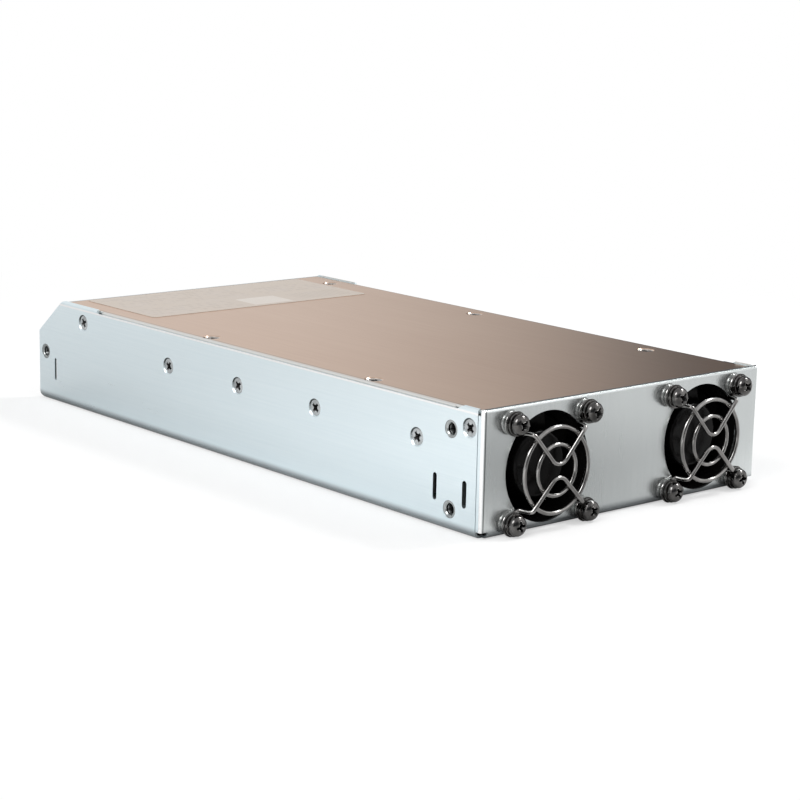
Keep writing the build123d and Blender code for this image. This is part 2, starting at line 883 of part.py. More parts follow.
def standoff_places():
    first = back(board_front_depth + standoff_end_inset)
    last = back(board_rear - standoff_end_inset)
    middle = (first + last) / 2
    x = half_width - standoff_inset
    return [(side * x, y) for side in (-1, 1) for y in (first, middle, last)]


def board_half():
    return wall_inside - board_side_gap


def main_board():
    half = board_half()
    board = block((-half, half), (back(board_front_depth), back(board_rear)), (board_bottom, board_top))
    for x, y in standoff_places():
        board -= rod_z(m3_clearance, x, y, board_bottom - 1, board_top + 1)
    return board


def floor_liner():
    half = board_half()
    height = (sheet + 0.05, sheet + 0.05 + liner_thickness)
    liner = block((-half, half), (back(board_front_depth), back(board_rear)), height)
    for x, y in standoff_places():
        liner -= rod_z(standoff_diameter + 0.4, x, y, 0, sheet + 2)
    return liner


def board_standoffs():
    """Hexagonal posts with a spigot riveted in the floor."""
    posts = []
    for x, y in standoff_places():
        post = along_z(Pos(x, y) * RegularPolygon(standoff_diameter / 2, 6), sheet, board_bottom)
        post += rod_z(standoff_diameter / 2 - 0.1, x, y, 0.1, sheet)
        post -= rod_z(m3_clearance, x, y, sheet + standoff_base, board_bottom + 1)
        posts.append(post)
    return posts


def board_screws():
    shape = pan_screw(m3_pan_head, m3_pan_height, m3_thread, m3_length)
    return [Pos(x, y, board_top) * shape for x, y in standoff_places()]


# Heatsinks

def left_heatsink(ledge):
    """Extruded profile against the wall: web, ledge under the cover, hanging fins."""
    side = -heatsink_side
    ledge_top = tab_top
    ledge_side = -(flange_half - cover_bend)
    shoulder = cover_under - cover_flange_height - fit_gap
    web = Pos(side + web_thickness / 2, (heatsink_bottom + shoulder) / 2)
    web *= Rectangle(web_thickness, shoulder - heatsink_bottom)
    neck_width = side + web_thickness - ledge_side
    neck = Pos(ledge_side + neck_width / 2, (ledge_top + shoulder) / 2 - 1)
    neck *= Rectangle(neck_width, ledge_top - shoulder + 2)
    shelf = Pos(ledge_side + ledge / 2, ledge_top - ledge_thickness / 2) * Rectangle(ledge, ledge_thickness)
    profile = web + neck
    rail = shelf
    spacing = (ledge_side + ledge - side - web_thickness - fin_thickness) / fin_count
    for index in range(fin_count):
        x = ledge_side + ledge - fin_thickness / 2 - index * spacing
        rail += Pos(x, ledge_top - ledge_thickness - fin_drop / 2) * Rectangle(fin_thickness, fin_drop)
    rail_start = max(heatsink_start, sheet + fan_depth + ledge_setback)
    heatsink = along_y(profile, back(heatsink_start), back(heatsink_end))
    heatsink += along_y(rail, back(rail_start), back(heatsink_end))
    for plane in left_wall_planes():
        heatsink -= plane * sink_cutter()
    return heatsink


def heatsink(side):
    ledge = left_ledge if side < 0 else right_ledge
    shape = left_heatsink(ledge)
    if side > 0:
        shape = mirrored(shape)
    for plane in cover_screw_planes():
        shape -= plane * sink_cutter()
    return shape


def power_device(depth, width):
    """Moulded package standing against the left web with its leads in the board."""
    inner = -heatsink_side + web_thickness + fit_gap
    bottom = device_bottom
    y = back(depth)
    body = block(
        (inner, inner + device_thickness),
        (y - width / 2, y + width / 2),
        (bottom, bottom + device_height),
    )
    long_edges = body.edges().filter_by(Axis.Z).sort_by(Axis.X)[-2:]
    body = chamfer(long_edges, 0.8)
    pitch = width / 3
    for index in (-1, 0, 1):
        lead_y = y + index * pitch
        body += block(
            (inner + 2.0, inner + 2.8),
            (lead_y - device_lead / 2, lead_y + device_lead / 2),
            (board_top + seat_gap, bottom),
        )
    return body


# Wound parts and capacitors

def on_board(place):
    """A location on the board's top: across the case and back from its front edge."""
    x, depth = place
    return Pos(x * width_fit, back(board_front_depth + depth * length_fit), board_top + seat_gap)


def ring_core(outer, inner, height, wrap):
    section = Pos((outer + inner) / 4, wrap + height / 2) * RectangleRounded((outer - inner) / 2, height, 1.0)
    return revolve(Plane.XZ * section, Axis.Z)


def ring_winding(outer, inner, height, wrap, sectors):
    """Sleeves of wire round a ring core, one to each sector."""
    width = (outer - inner) / 2
    middle = Pos((outer + inner) / 4, wrap + height / 2)
    sleeve = middle * RectangleRounded(width + 2 * wrap, height + 2 * wrap, wrap)
    sleeve -= middle * RectangleRounded(width + 0.3, height + 0.3, 1.1)
    arc = 360 / sectors - 30
    shape = revolve(Plane.XZ * sleeve, Axis.Z, revolution_arc=arc)
    return [Rot(0, 0, 360 / sectors * index + 15) * shape for index in range(sectors)]


def transformer_core():
    """Ferrite halves closed round the centre leg."""
    size = core_size
    window_length = size - 2 * core_yoke
    window_width = (size - 2 * core_yoke - core_leg) / 2
    shape = Box(size, size, core_stack)
    for side in (-1, 1):
        x = side * (core_leg + window_width) / 2
        shape -= Pos(x, 0, 0) * Box(window_width, window_length, core_stack + 2)
    return Pos(0, 0, transformer_centre()) * shape


def transformer_centre():
    return core_stack / 2 + transformer_wrap() + bobbin_wall + 1.0


def transformer_wrap():
    return (core_size - 2 * core_yoke - core_leg) / 2 - bobbin_wall - 1.0


def transformer_bobbin():
    """Sleeve round the centre leg with a flange at each end and feet on the board."""
    gap = 0.4
    hole = (core_leg + gap, core_stack + gap)
    length = core_size - 2 * core_yoke - 0.6
    tube = Box(hole[0] + 2 * bobbin_wall, length, hole[1] + 2 * bobbin_wall)
    flange_width = core_size - 2 * core_yoke - 0.6
    flange_height = hole[1] + 2 * (bobbin_wall + transformer_wrap()) - 0.6
    shape = tube
    for side in (-1, 1):
        y = side * (length - bobbin_wall) / 2
        flange = Box(flange_width, bobbin_wall, flange_height)
        shape += Pos(0, y, 0) * flange
        foot_height = transformer_centre() - flange_height / 2 + 0.5
        foot = Box(flange_width, bobbin_wall, foot_height)
        shape += Pos(0, y, -transformer_centre() + foot_height / 2) * foot
    shape -= Box(hole[0], length + 2, hole[1])
    return Pos(0, 0, transformer_centre()) * shape


def transformer_winding():
    inner_x = core_leg + 0.8 + 2 * bobbin_wall
    inner_z = core_stack + 0.8 + 2 * bobbin_wall
    wrap = transformer_wrap() - 0.8
    length = core_size - 2 * core_yoke - 2 * bobbin_wall - 1.2
    outline = RectangleRounded(inner_x + 2 * wrap, inner_z + 2 * wrap, 2.5)
    outline -= Rectangle(inner_x, inner_z)
    return Pos(0, 0, transformer_centre()) * along_y(outline, -length / 2, length / 2)


def can_capacitor(diameter, height):
    """Can with a rolled groove near its rubber end."""
    radius = diameter / 2
    groove = 0.5
    can = Pos(0, 0, height / 2) * Cylinder(radius, height)
    can = fillet(can.edges().group_by(Axis.Z)[-1], 0.8)
    ring = Cylinder(radius + 1, 1.2) - Cylinder(radius - groove, 1.2)
    return can - Pos(0, 0, 3.0) * ring


def bulk_capacitors():
    """Large cans lying across the board side by side."""
    cans = []
    diameter = bulk_diameter * small_fit
    length = bulk_length * width_fit
    for index in range(bulk_count):
        place = on_board((bulk_place[0], bulk_place[1] + index * bulk_pitch))
        lie = Pos(-length / 2, 0, diameter / 2) * Rot(0, 90, 0)
        cans.append(place * lie * can_capacitor(diameter, length))
    return cans


def output_capacitors():
    cans = []
    can = can_capacitor(output_can_diameter * plan_fit, output_can_height * room_fit)
    for row in range(output_can_rows):
        for column in range(output_can_columns):
            x = output_can_place[0] + column * output_can_pitch
            depth = output_can_place[1] + row * output_can_pitch
            cans.append(on_board((x, depth)) * can)
    return cans


def standing_box(size, radius):
    width, depth, height = size[0] * width_fit, size[1] * length_fit, size[2] * room_fit
    shape = Pos(0, 0, height / 2) * Box(width, depth, height)
    return fillet(shape.edges().filter_by(Axis.Z), radius)


def film_capacitors():
    shape = standing_box(film_size, 0.8)
    return [on_board((film_place[0], film_place[1] + index * film_pitch)) * shape for index in range(2)]


def fuse_with_clips():
    """Cartridge fuse between two spring clips."""
    length = fuse_length * length_fit
    axis = fuse_diameter / 2 + 2.0
    tube = Pos(0, 0, axis) * Rot(90, 0, 0) * Cylinder(fuse_diameter / 2, length)
    cap = Rot(90, 0, 0) * Cylinder(fuse_diameter / 2 + 0.2, fuse_cap)
    shape = tube
    for side in (-1, 1):
        y = side * (length - fuse_cap) / 2
        shape += Pos(0, y, axis) * cap
        shape += Pos(0, y, axis / 2) * Box(fuse_diameter + 1.6, fuse_cap - 1.0, axis)
    return on_board(fuse_place) * shape


def control_board():
    """Small board standing on edge with a row of chips on its face."""
    thickness = control_size[0]
    length = control_size[1] * length_fit
    height = control_size[2] * room_fit
    chip_thickness, chip_length, chip_height = chip_size
    shape = Pos(0, 0, height / 2) * Box(thickness, length, height)
    for index in range(chip_count):
        y = (index - (chip_count - 1) / 2) * length * 0.3
        chip = Box(chip_thickness, chip_length, chip_height)
        shape += Pos((thickness + chip_thickness) / 2 - 0.1, y, height * 0.55) * chip
    x, depth = control_place
    return on_board((x, depth + control_size[1] / 2)) * shape


def fan_headers():
    width, depth, height = header_size
    shape = Pos(0, 0, height / 2) * Box(width, depth, height)
    shape -= Pos(0, 0, height / 2 + 1.2) * Box(width - 1.6, depth - 1.6, height)
    y = back(board_front_depth + header_setback + depth / 2)
    return [Pos(x / 2, y, board_top + seat_gap) * shape for x in fan_places]


# Rear panel and terminals

def terminal_width():
    return terminal_pitch * terminal_poles + terminal_wall


def bar_centres():
    return [x * width_fit for x in bar_places]


def terminal_centre():
    return terminal_place * width_fit


def signal_centre():
    return signal_place * width_fit


def rear_openings():
    """Windows in the rear panel: across limits, then height limits."""
    windows = []
    for x in bar_centres():
        half = bar_width / 2 + cutout_gap
        bottom = board_top + bar_lift
        windows.append(((x - half, x + half), (bottom - cutout_gap, bottom + bar_thickness + cutout_gap)))
    half = terminal_width() / 2 - 2.0
    centre = terminal_centre()
    windows.append(((centre - half, centre + half), (board_top, board_top + 5.0)))
    half = signal_size[0] / 2 - 2.0
    centre = signal_centre()
    windows.append(((centre - half, centre + half), (board_top, board_top + 4.0)))
    return windows


def rear_panel():
    """Panel behind the cover with vents, windows and side flanges."""
    side = wall_inside - fit_gap
    panel_start = back(rear_panel_front)
    panel_end = panel_start + sheet
    low = sheet + fit_gap
    plate = rounded_channel(2 * side, cover_top - low, floor_bend - sheet)
    panel = along_y(Pos(0, low) * plate, panel_start, panel_end)
    flange = block(
        (-side, -side + sheet),
        (panel_start - rear_flange_depth, panel_end),
        (floor_bend + 2, tab_top - sheet - 0.3),
    )
    for piece in both_sides(flange):
        panel += piece
    for across, heights in rear_openings():
        panel -= block(across, (panel_start - 1, panel_end + 1), heights)
    slot = Rot(0, 0, 90) * SlotOverall(vent_length, vent_width)
    for index in range(vent_count):
        x = (index - (vent_count - 1) / 2) * vent_pitch
        panel -= along_y(Pos(x, vent_height) * slot, panel_start - 1, panel_end + 1)
    for plane in left_wall_planes():
        for cut in both_sides(plane * sink_cutter()):
            panel -= cut
    return panel


def terminal_block():
    """Barrier block: stepped body with a pocket for each pole."""
    width = terminal_width()
    start = back(rear_panel_front) + sheet + fit_gap
    depth = terminal_depth
    height = terminal_height
    outline = Polyline(
        (0, 0),
        (depth, 0),
        (depth, height * 0.45),
        (depth * 0.75, height * 0.45),
        (depth * 0.75, height),
        (0, height),
        close=True,
    )
    section = Pos(start, sheet + fit_gap) * make_face(outline)
    left = terminal_centre() - width / 2
    body = along_x(section, left, left + width)
    pocket = terminal_pitch - terminal_wall
    shelf = sheet + fit_gap + height * 0.35
    for index in range(terminal_poles):
        x = left + terminal_wall + index * terminal_pitch
        body -= block((x, x + pocket), (start + 2.0, start + depth + 1), (shelf, height * 2))
    return body


def terminal_screws():
    """A pan screw on a plated lug for each pole."""
    pieces = []
    start = back(rear_panel_front) + sheet + fit_gap
    shelf = sheet + fit_gap + terminal_height * 0.35
    lug = terminal_pitch - terminal_wall - 0.6
    for index in range(terminal_poles):
        x = terminal_centre() + (index - (terminal_poles - 1) / 2) * terminal_pitch
        y = start + 2.0 + (terminal_depth - 2.0) / 2
        plate = block((x - lug / 2, x + lug / 2), (y - 4.0, y + 4.0), (shelf + 0.05, shelf + terminal_lug))
        head = pan_screw(*terminal_head, terminal_screw, terminal_bite, *terminal_cross)
        pieces.append(plate + Pos(x, y, shelf + terminal_lug) * head)
    return pieces


def bar_top():
    return board_top + bar_lift + bar_thickness


def output_bars():
    """Folded copper bars from the board out through the rear panel."""
    bars = []
    panel = rear_panel_front
    foot_start = back(board_rear - bar_foot)
    end = back(panel) + sheet + bar_reach
    thick = bar_thickness
    base = board_top + seat_gap
    outline = Polyline(
        (foot_start, base),
        (foot_start + thick, base),
        (foot_start + thick, bar_top() - thick),
        (end, bar_top() - thick),
        (end, bar_top()),
        (foot_start, bar_top()),
        close=True,
    )
    section = make_face(outline)
    bend = section.vertices().sort_by(Axis.X)[:2].sort_by(Axis.Y)[-1]
    section = fillet(bend, thick)
    hole_y = end - bar_width / 2 + 1.0
    for x in bar_centres():
        bar = along_x(section, x - bar_width / 2, x + bar_width / 2)
        bar -= rod_z(bar_hole, x, hole_y, 0, case_height)
        bars.append(bar)
    return bars


def bar_hardware():
    """Screw through each bar, with its nut underneath."""
    end = back(rear_panel_front) + sheet + bar_reach
    y = end - bar_width / 2 + 1.0
    pieces = []
    for x in bar_centres():
        screw = pan_screw(*bar_head, bar_screw - 0.1, bar_thickness + bar_screw_reach, *bar_cross)
        pieces.append(Pos(x, y, bar_top()) * screw)
    return pieces


def bar_nuts():
    end = back(rear_panel_front) + sheet + bar_reach
    y = end - bar_width / 2 + 1.0
    top = bar_top() - bar_thickness
    nut = RegularPolygon(bar_nut / 2, 6, major_radius=False) - Circle(bar_screw / 2)
    return [along_z(Pos(x, y) * nut, top - bar_nut_height, top) for x in bar_centres()]


def signal_connector():
    """Small shrouded header standing behind the rear panel."""
    width, depth, height = signal_size
    start = back(rear_panel_front) + sheet + fit_gap
    shape = block(
        (signal_centre() - width / 2, signal_centre() + width / 2),
        (start, start + depth),
        (sheet + fit_gap, board_top + height),
    )
    shape -= block(
        (signal_centre() - width / 2 + 1.2, signal_centre() + width / 2 - 1.2),
        (start + 2.0, start + depth + 1),
        (board_top + 1.2, board_top + height - 1.2),
    )
    return shape


# Sub-parts

def write_case():
    save("chassis_tray", chassis_tray())
    save("top_cover", top_cover())
    save("rating_label", rating_label())
    save("rear_panel", rear_panel())
    screws = [plane * countersunk_screw() for plane in left_wall_planes()]
    save("side_screws", *screws, *[mirrored(screw) for screw in screws])
    save("cover_screws", *[plane * countersunk_screw() for plane in cover_screw_planes()])
    inserts = []
    for depth, height in insert_places():
        plane = facing(-half_width, back(depth), height, (-1, 0, 0))
        inserts.extend(both_sides(plane * mounting_insert()))
    save("mounting_inserts", *inserts)


def write_fans():
    for x, side in zip(fan_places, ("left", "right")):
        save("fan_frame_" + side, fan_frame(x))
        save("fan_impeller_" + side, impeller(x))
        save("fan_magnet_" + side, magnet_ring(x))
        save("fan_shaft_" + side, fan_shaft(x))
        save("finger_guard_" + side, finger_guard(x))
    save("fan_stators", *[fan_stator(x) for x in fan_places])
    save("fan_coils", *[coil for x in fan_places for coil in fan_coils(x)])
    save("fan_bearings", *[bearing for x in fan_places for bearing in fan_bearings(x)])
    save("fan_screws", *fan_screws())
    save("flat_washers", *fan_washers(flat_washer, wire, flat_washer_thickness))
    start = wire + flat_washer_thickness
    springs = fan_washers(spring_washer, start, spring_washer_thickness, spring_washer_slit)
    save("spring_washers", *springs)


def write_board():
    save("main_board", main_board())
    save("floor_liner", floor_liner())
    save("board_standoffs", *board_standoffs())
    save("board_screws", *board_screws())
    save("heatsink_left", heatsink(-1))
    save("heatsink_right", heatsink(1))
    save("power_transistors", *[power_device(depth, device_width) for depth in left_devices])
    save("output_rectifiers", *[mirrored(power_device(depth, device_width)) for depth in right_devices])
    save("bridge_rectifier", power_device(bridge_depth, bridge_width))
    save("bulk_capacitors", *bulk_capacitors())
    save("output_capacitors", *output_capacitors())
    save("film_capacitors", *film_capacitors())
    save("line_fuse", fuse_with_clips())
    save("relay", on_board(relay_place) * standing_box(relay_size, 0.8))
    save("control_board", control_board())
    save("fan_headers", *fan_headers())


def write_wound_parts():
    chokes = (
        ("boost_choke", choke_place, choke_outer, choke_inner, choke_height, 1),
        ("line_choke", line_choke_place, line_choke_outer, line_choke_inner, line_choke_height, 2),
        (
            "output_choke",
            output_choke_place,
            choke_outer * output_choke_scale,
            choke_inner * output_choke_scale,
            choke_height * output_choke_scale,
            1,
        ),
    )
    for name, place, planned_outer, planned_inner, planned_height, sectors in chokes:
        at = on_board(place)
        outer = planned_outer * plan_fit
        inner = planned_inner * plan_fit
        height = planned_height * room_fit
        save(name + "_core", at * ring_core(outer, inner, height, winding_wrap))
        windings = ring_winding(outer, inner, height, winding_wrap, sectors)
        save(name + "_winding", *[at * winding for winding in windings])
    at = on_board(transformer_place)
    save("transformer_core", at * transformer_core())
    save("transformer_bobbin", at * transformer_bobbin())
    save("transformer_winding", at * transformer_winding())


def write_terminals():
    save("terminal_block", terminal_block())
    save("terminal_screws", *terminal_screws())
    save("output_bars", *output_bars())
    save("bar_screws", *bar_hardware())
    save("bar_nuts", *bar_nuts())
    save("signal_connector", signal_connector())


write_case()
write_fans()
write_board()
write_wound_parts()
write_terminals()
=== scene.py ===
import math
import bmesh
import bpy
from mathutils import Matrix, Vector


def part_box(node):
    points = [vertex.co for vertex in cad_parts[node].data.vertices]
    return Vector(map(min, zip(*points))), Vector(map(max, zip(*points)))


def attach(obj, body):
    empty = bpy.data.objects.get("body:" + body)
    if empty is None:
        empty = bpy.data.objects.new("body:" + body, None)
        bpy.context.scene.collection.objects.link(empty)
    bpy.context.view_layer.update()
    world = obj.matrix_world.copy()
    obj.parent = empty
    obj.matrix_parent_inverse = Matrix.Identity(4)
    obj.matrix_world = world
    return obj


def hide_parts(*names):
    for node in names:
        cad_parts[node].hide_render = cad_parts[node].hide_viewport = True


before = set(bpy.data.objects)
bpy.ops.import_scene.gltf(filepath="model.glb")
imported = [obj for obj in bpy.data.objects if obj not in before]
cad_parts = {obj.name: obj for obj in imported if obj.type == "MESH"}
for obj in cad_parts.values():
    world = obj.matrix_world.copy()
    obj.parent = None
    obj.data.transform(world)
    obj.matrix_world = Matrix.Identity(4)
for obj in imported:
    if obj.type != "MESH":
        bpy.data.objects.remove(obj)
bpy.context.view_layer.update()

print("frame loaded")


# Camera, where the photo was taken from
viewpoint = {
    "place": (-0.48973, -0.58914, 0.17688),
    "turn": (77.992, -1.2335, -40.2664),  # degrees
    "lens": 95.08,
    "sensor": 36.0,
    "clip": (0.02, 40.0),
}


def placeCamera(settings):
    turn = [math.radians(angle) for angle in settings["turn"]]
    bpy.ops.object.camera_add(location=settings["place"], rotation=turn)
    camera = bpy.context.object
    camera.name = "photoCamera"
    camera.data.lens = settings["lens"]
    camera.data.sensor_width = settings["sensor"]
    camera.data.clip_start, camera.data.clip_end = settings["clip"]
    bpy.context.scene.camera = camera


# Small helpers for building node trees
def addNode(tree, kind, inputs=None, **settings):
    node = tree.nodes.new(kind)
    for name, value in settings.items():
        setattr(node, name, value)
    for name, value in (inputs or {}).items():
        if isinstance(value, bpy.types.NodeSocket):
            tree.links.new(value, node.inputs[name])
        else:
            node.inputs[name].default_value = value
    return node


def calc(tree, operation, first, second=0.0, third=0.0):
    node = addNode(tree, "ShaderNodeMath", {0: first, 1: second, 2: third}, operation=operation)
    return node.outputs[0]


def remap(tree, value, fromLow, fromHigh, toLow, toHigh, smooth=False):
    kind = "SMOOTHSTEP" if smooth else "LINEAR"
    places = {
        "Value": value, "From Min": fromLow, "From Max": fromHigh, "To Min": toLow, "To Max": toHigh,
    }
    return addNode(tree, "ShaderNodeMapRange", places, interpolation_type=kind).outputs["Result"]


def ramped(tree, value, span, values, smooth=False):
    # goes from the first value to the second across the span
    return remap(tree, value, span[0], span[1], values[0], values[1], smooth)


def allOf(tree, *masks):
    joined = masks[0]
    for mask in masks[1:]:
        joined = calc(tree, "MULTIPLY", joined, mask)
    return joined


def between(tree, value, low, high):
    return allOf(tree, calc(tree, "GREATER_THAN", value, low), calc(tree, "LESS_THAN", value, high))


def thinLine(tree, value, low, high):
    # rises to 1 halfway from low to high, and falls again
    return calc(tree, "PINGPONG", remap(tree, value, low, high, 0.0, 2.0), 1.0)


def mixValues(tree, amount, first, second):
    return addNode(tree, "ShaderNodeMix", {"Factor": amount, 2: first, 3: second}).outputs[0]


def splitAxes(tree, where):
    return addNode(tree, "ShaderNodeSeparateXYZ", {"Vector": where}).outputs


def blendColours(tree, amount, first, second):
    node = addNode(tree, "ShaderNodeMix", {"Factor": amount}, data_type="RGBA")
    for place, colour in ((6, first), (7, second)):
        if isinstance(colour, bpy.types.NodeSocket):
            tree.links.new(colour, node.inputs[place])
        else:
            node.inputs[place].default_value = (*colour, 1.0)
    return node.outputs[2]


def noiseAt(tree, where, scale, stretch=(1, 1, 1), detail=2.0, rough=0.5):
    placed = addNode(tree, "ShaderNodeMapping", {"Vector": where, "Scale": stretch})
    spots = {"Vector": placed.outputs[0], "Scale": scale, "Detail": detail, "Roughness": rough}
    return addNode(tree, "ShaderNodeTexNoise", spots).outputs["Fac"]


def startFinish(name, metallic=0.0, **constants):
    finish = bpy.data.materials.new(name)
    finish.use_nodes = True
    tree = finish.node_tree
    shader = tree.nodes["Principled BSDF"]
    shader.inputs["Metallic"].default_value = metallic
    for socket, value in constants.items():
        shader.inputs[socket.replace("_", " ")].default_value = value
    where = tree.nodes.new("ShaderNodeTexCoord").outputs["Object"]
    return finish, tree, shader, where


def joinFinish(tree, shader, colour, roughness, height, strength, distance):
    tree.links.new(colour, shader.inputs["Base Color"])
    tree.links.new(roughness, shader.inputs["Roughness"])
    relief = {"Strength": strength, "Distance": distance, "Height": height}
    bump = addNode(tree, "ShaderNodeBump", relief)
    tree.links.new(bump.outputs[0], shader.inputs["Normal"])


# Rolled zinc-coated sheet: streaks along the rolling direction, soft patches, a few specks
caseSheet = {
    "bright": (0.84, 0.935, 0.97),
    "dull": (0.80, 0.90, 0.94),
    "panelBright": (0.84, 0.875, 0.875),
    "panelDull": (0.75, 0.79, 0.79),
    "paintedLowShade": (0.24, 0.26, 0.27),  # painted shade where the sheet turns under, near the floor
    "lowSpan": (0.0013, 0.0038),
    "lowShare": 0.88,
    "paintedCutShade": (0.07, 0.08, 0.08),  # painted shade on walls of slots and sinks that face down
    "cutDepth": 0.00006,  # from the wall's face
    "cutHeights": (0.0030, 0.0390),
    "cutFrom": -0.1272,  # only behind the front corner
    "paintedEdgeHighlight": (1.0, 1.0, 1.0),  # painted highlight on the front corner and along the wall's top
    "cornerReach": 0.00045,
    "topReach": 0.0004,
    "topSpan": (0.0388, 0.0398),
    "topGain": 1.4,
    "bendLine": (0.10, 0.105, 0.105),  # painted shade line where the front corner turns into the panel, on the left
    "lineReach": (0.00135, 0.00055),  # inwards from the wall's face
    "lineFront": -0.1294,
    "lip": (0.20, 0.215, 0.215),  # folded over the fan panel
    "lipSpan": (0.0402, 0.0407),
    "lipInset": 0.0012,
    "lipRoughness": 0.38,
    "metallic": 0.90,
    "roughness": (0.27, 0.38),
    "panelRoughness": (0.20, 0.29),
    "streaks": 1500.0,
    "along": 0.02,  # stretch along the rolling direction
    "patches": 16.0,
    "bump": 0.025,
    "panelEnd": -0.1288,  # in front of this the sheet is rolled upwards
}
# The cover is the same zinc steel as the case; its tan colour is a painted warm reflection
coverSheet = {
    "bright": (0.65, 0.455, 0.33),
    "dull": (0.615, 0.425, 0.31),
    "edge": (0.78, 0.78, 0.76),  # painted highlight on the bends
    "edgeReach": (0.0010, 0.0004),  # inwards from the cover's side
    "edgeDrop": (0.0005, 0.0001),  # down from its top
    "bendLine": (0.16, 0.13, 0.11),
    "lineReach": (0.0016, 0.0008),
    "lineShare": 0.85,
    "metallic": 0.95,
    "roughness": (0.28, 0.32),
    "streaks": 1300.0,
    "along": 0.02,
    "patches": 14.0,
    "bump": 0.008,
}

# What both sheets share
rolling = {
    "streakNoise": (4.0, 0.6),  # detail and roughness
    "streakShare": 0.55,
    "patchNoise": (3.0, 0.55),
    "patchShare": 0.45,
    "patchStretch": (1, 0.5, 1),
    "colourSpan": (0.36, 0.64),  # of the wear, from dull to bright
    "roughSpan": (0.34, 0.66),  # of the wear, from rough to smooth
    "grain": 5200.0,
    "grainShare": 0.5,
    "depth": 0.00004,
}
specks = {"scale": 55.0, "size": 0.012, "rareOver": 0.86, "share": 0.45, "tint": (0.20, 0.19, 0.18)}
cutFacing = {"span": (-0.30, 0.45), "shares": (1.0, 0.12)}  # by how far a wall of a cut faces up


def sheetWear(tree, where, settings, stretch):
    streak = noiseAt(tree, where, settings["streaks"], stretch, *rolling["streakNoise"])
    patch = noiseAt(tree, where, settings["patches"], rolling["patchStretch"], *rolling["patchNoise"])
    wear = calc(tree, "ADD", calc(tree, "MULTIPLY", streak, rolling["streakShare"]),
                calc(tree, "MULTIPLY", patch, rolling["patchShare"]))
    return streak, wear


def sheetRoughness(tree, wear, limits):
    return ramped(tree, wear, rolling["roughSpan"], (limits[1], limits[0]))


def addSpecks(tree, where, colour):
    cells = addNode(tree, "ShaderNodeTexVoronoi", {"Vector": where, "Scale": specks["scale"]})
    speck = calc(tree, "LESS_THAN", cells.outputs["Distance"], specks["size"])
    rare = addNode(tree, "ShaderNodeSeparateColor", {"Color": cells.outputs["Color"]}).outputs[0]
    speck = allOf(tree, speck, calc(tree, "GREATER_THAN", rare, specks["rareOver"]))
    return blendColours(tree, calc(tree, "MULTIPLY", speck, specks["share"]), colour, specks["tint"])


def cutShade(tree, colour, inside, shade):
    # painted shade inside a cut in the sheet, darker where the wall of the cut faces down
    normal = tree.nodes.new("ShaderNodeNewGeometry").outputs["True Normal"]
    down = ramped(tree, splitAxes(tree, normal)["Z"], cutFacing["span"], cutFacing["shares"])
    return blendColours(tree, allOf(tree, inside, down), colour, shade)


def finishSheet(tree, shader, where, settings, colour, streak, roughness):
    colour = addSpecks(tree, where, colour)
    grain = noiseAt(tree, where, rolling["grain"], detail=1.0)
    height = calc(tree, "ADD", streak, calc(tree, "MULTIPLY", grain, rolling["grainShare"]))
    joinFinish(tree, shader, colour, roughness, height, settings["bump"], rolling["depth"])


def bendShades(tree, settings, colour, parts, across, face, onPanel):
    # painted highlight on the corner and the wall's top, a painted shade line beside the corner, and the
    # darker lip
    front, height = parts["Y"], parts["Z"]
    corner = allOf(tree, onPanel, calc(tree, "GREATER_THAN", across, face - settings["cornerReach"]))
    wallTop = calc(tree, "MULTIPLY", thinLine(tree, height, *settings["topSpan"]), settings["topGain"])
    outside = calc(tree, "GREATER_THAN", across, face - settings["topReach"])
    wallTop = allOf(tree, calc(tree, "MINIMUM", wallTop, 1.0), outside)
    colour = blendColours(tree, calc(tree, "MAXIMUM", corner, wallTop), colour, settings["paintedEdgeHighlight"])
    line = thinLine(tree, across, *[face - reach for reach in settings["lineReach"]])
    onLeft = calc(tree, "LESS_THAN", parts["X"], 0.0)
    line = allOf(tree, line, onLeft, onPanel, calc(tree, "LESS_THAN", front, settings["lineFront"]))
    colour = blendColours(tree, line, colour, settings["bendLine"])
    lip = allOf(tree, ramped(tree, height, settings["lipSpan"], (0.0, 1.0)),
                calc(tree, "LESS_THAN", across, face - settings["lipInset"]))
    return blendColours(tree, lip, colour, settings["lip"]), lip


def zincCase(name, settings):
    finish, tree, shader, where = startFinish(name, settings["metallic"])
    parts = splitAxes(tree, where)
    front, height = parts["Y"], parts["Z"]
    across = calc(tree, "ABSOLUTE", parts["X"])
    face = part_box("chassis_tray")[1][0]
    onPanel = calc(tree, "LESS_THAN", front, settings["panelEnd"])
    sideStreak, sideWear = sheetWear(tree, where, settings, (1, settings["along"], 1))
    panelStreak, panelWear = sheetWear(tree, where, settings, (1, 1, settings["along"]))
    streak = mixValues(tree, onPanel, sideStreak, panelStreak)
    wear = mixValues(tree, onPanel, sideWear, panelWear)
    shade = ramped(tree, wear, rolling["colourSpan"], (0.0, 1.0))
    side = blendColours(tree, shade, settings["dull"], settings["bright"])
    panel = blendColours(tree, shade, settings["panelDull"], settings["panelBright"])
    colour = blendColours(tree, onPanel, side, panel)
    # painted shade towards the bottom of the wall, near the floor
    low = ramped(tree, height, settings["lowSpan"], (settings["lowShare"], 0.0), smooth=True)
    colour = blendColours(tree, low, colour, settings["paintedLowShade"])
    colour, lip = bendShades(tree, settings, colour, parts, across, face, onPanel)
    inside = allOf(tree, calc(tree, "LESS_THAN", across, face - settings["cutDepth"]),
                   between(tree, height, *settings["cutHeights"]),
                   calc(tree, "GREATER_THAN", front, settings["cutFrom"]))
    colour = cutShade(tree, colour, inside, settings["paintedCutShade"])
    sideRough = sheetRoughness(tree, wear, settings["roughness"])
    panelRough = sheetRoughness(tree, wear, settings["panelRoughness"])
    rough = mixValues(tree, onPanel, sideRough, panelRough)
    rough = mixValues(tree, lip, rough, settings["lipRoughness"])
    finishSheet(tree, shader, where, settings, colour, streak, rough)
    return finish


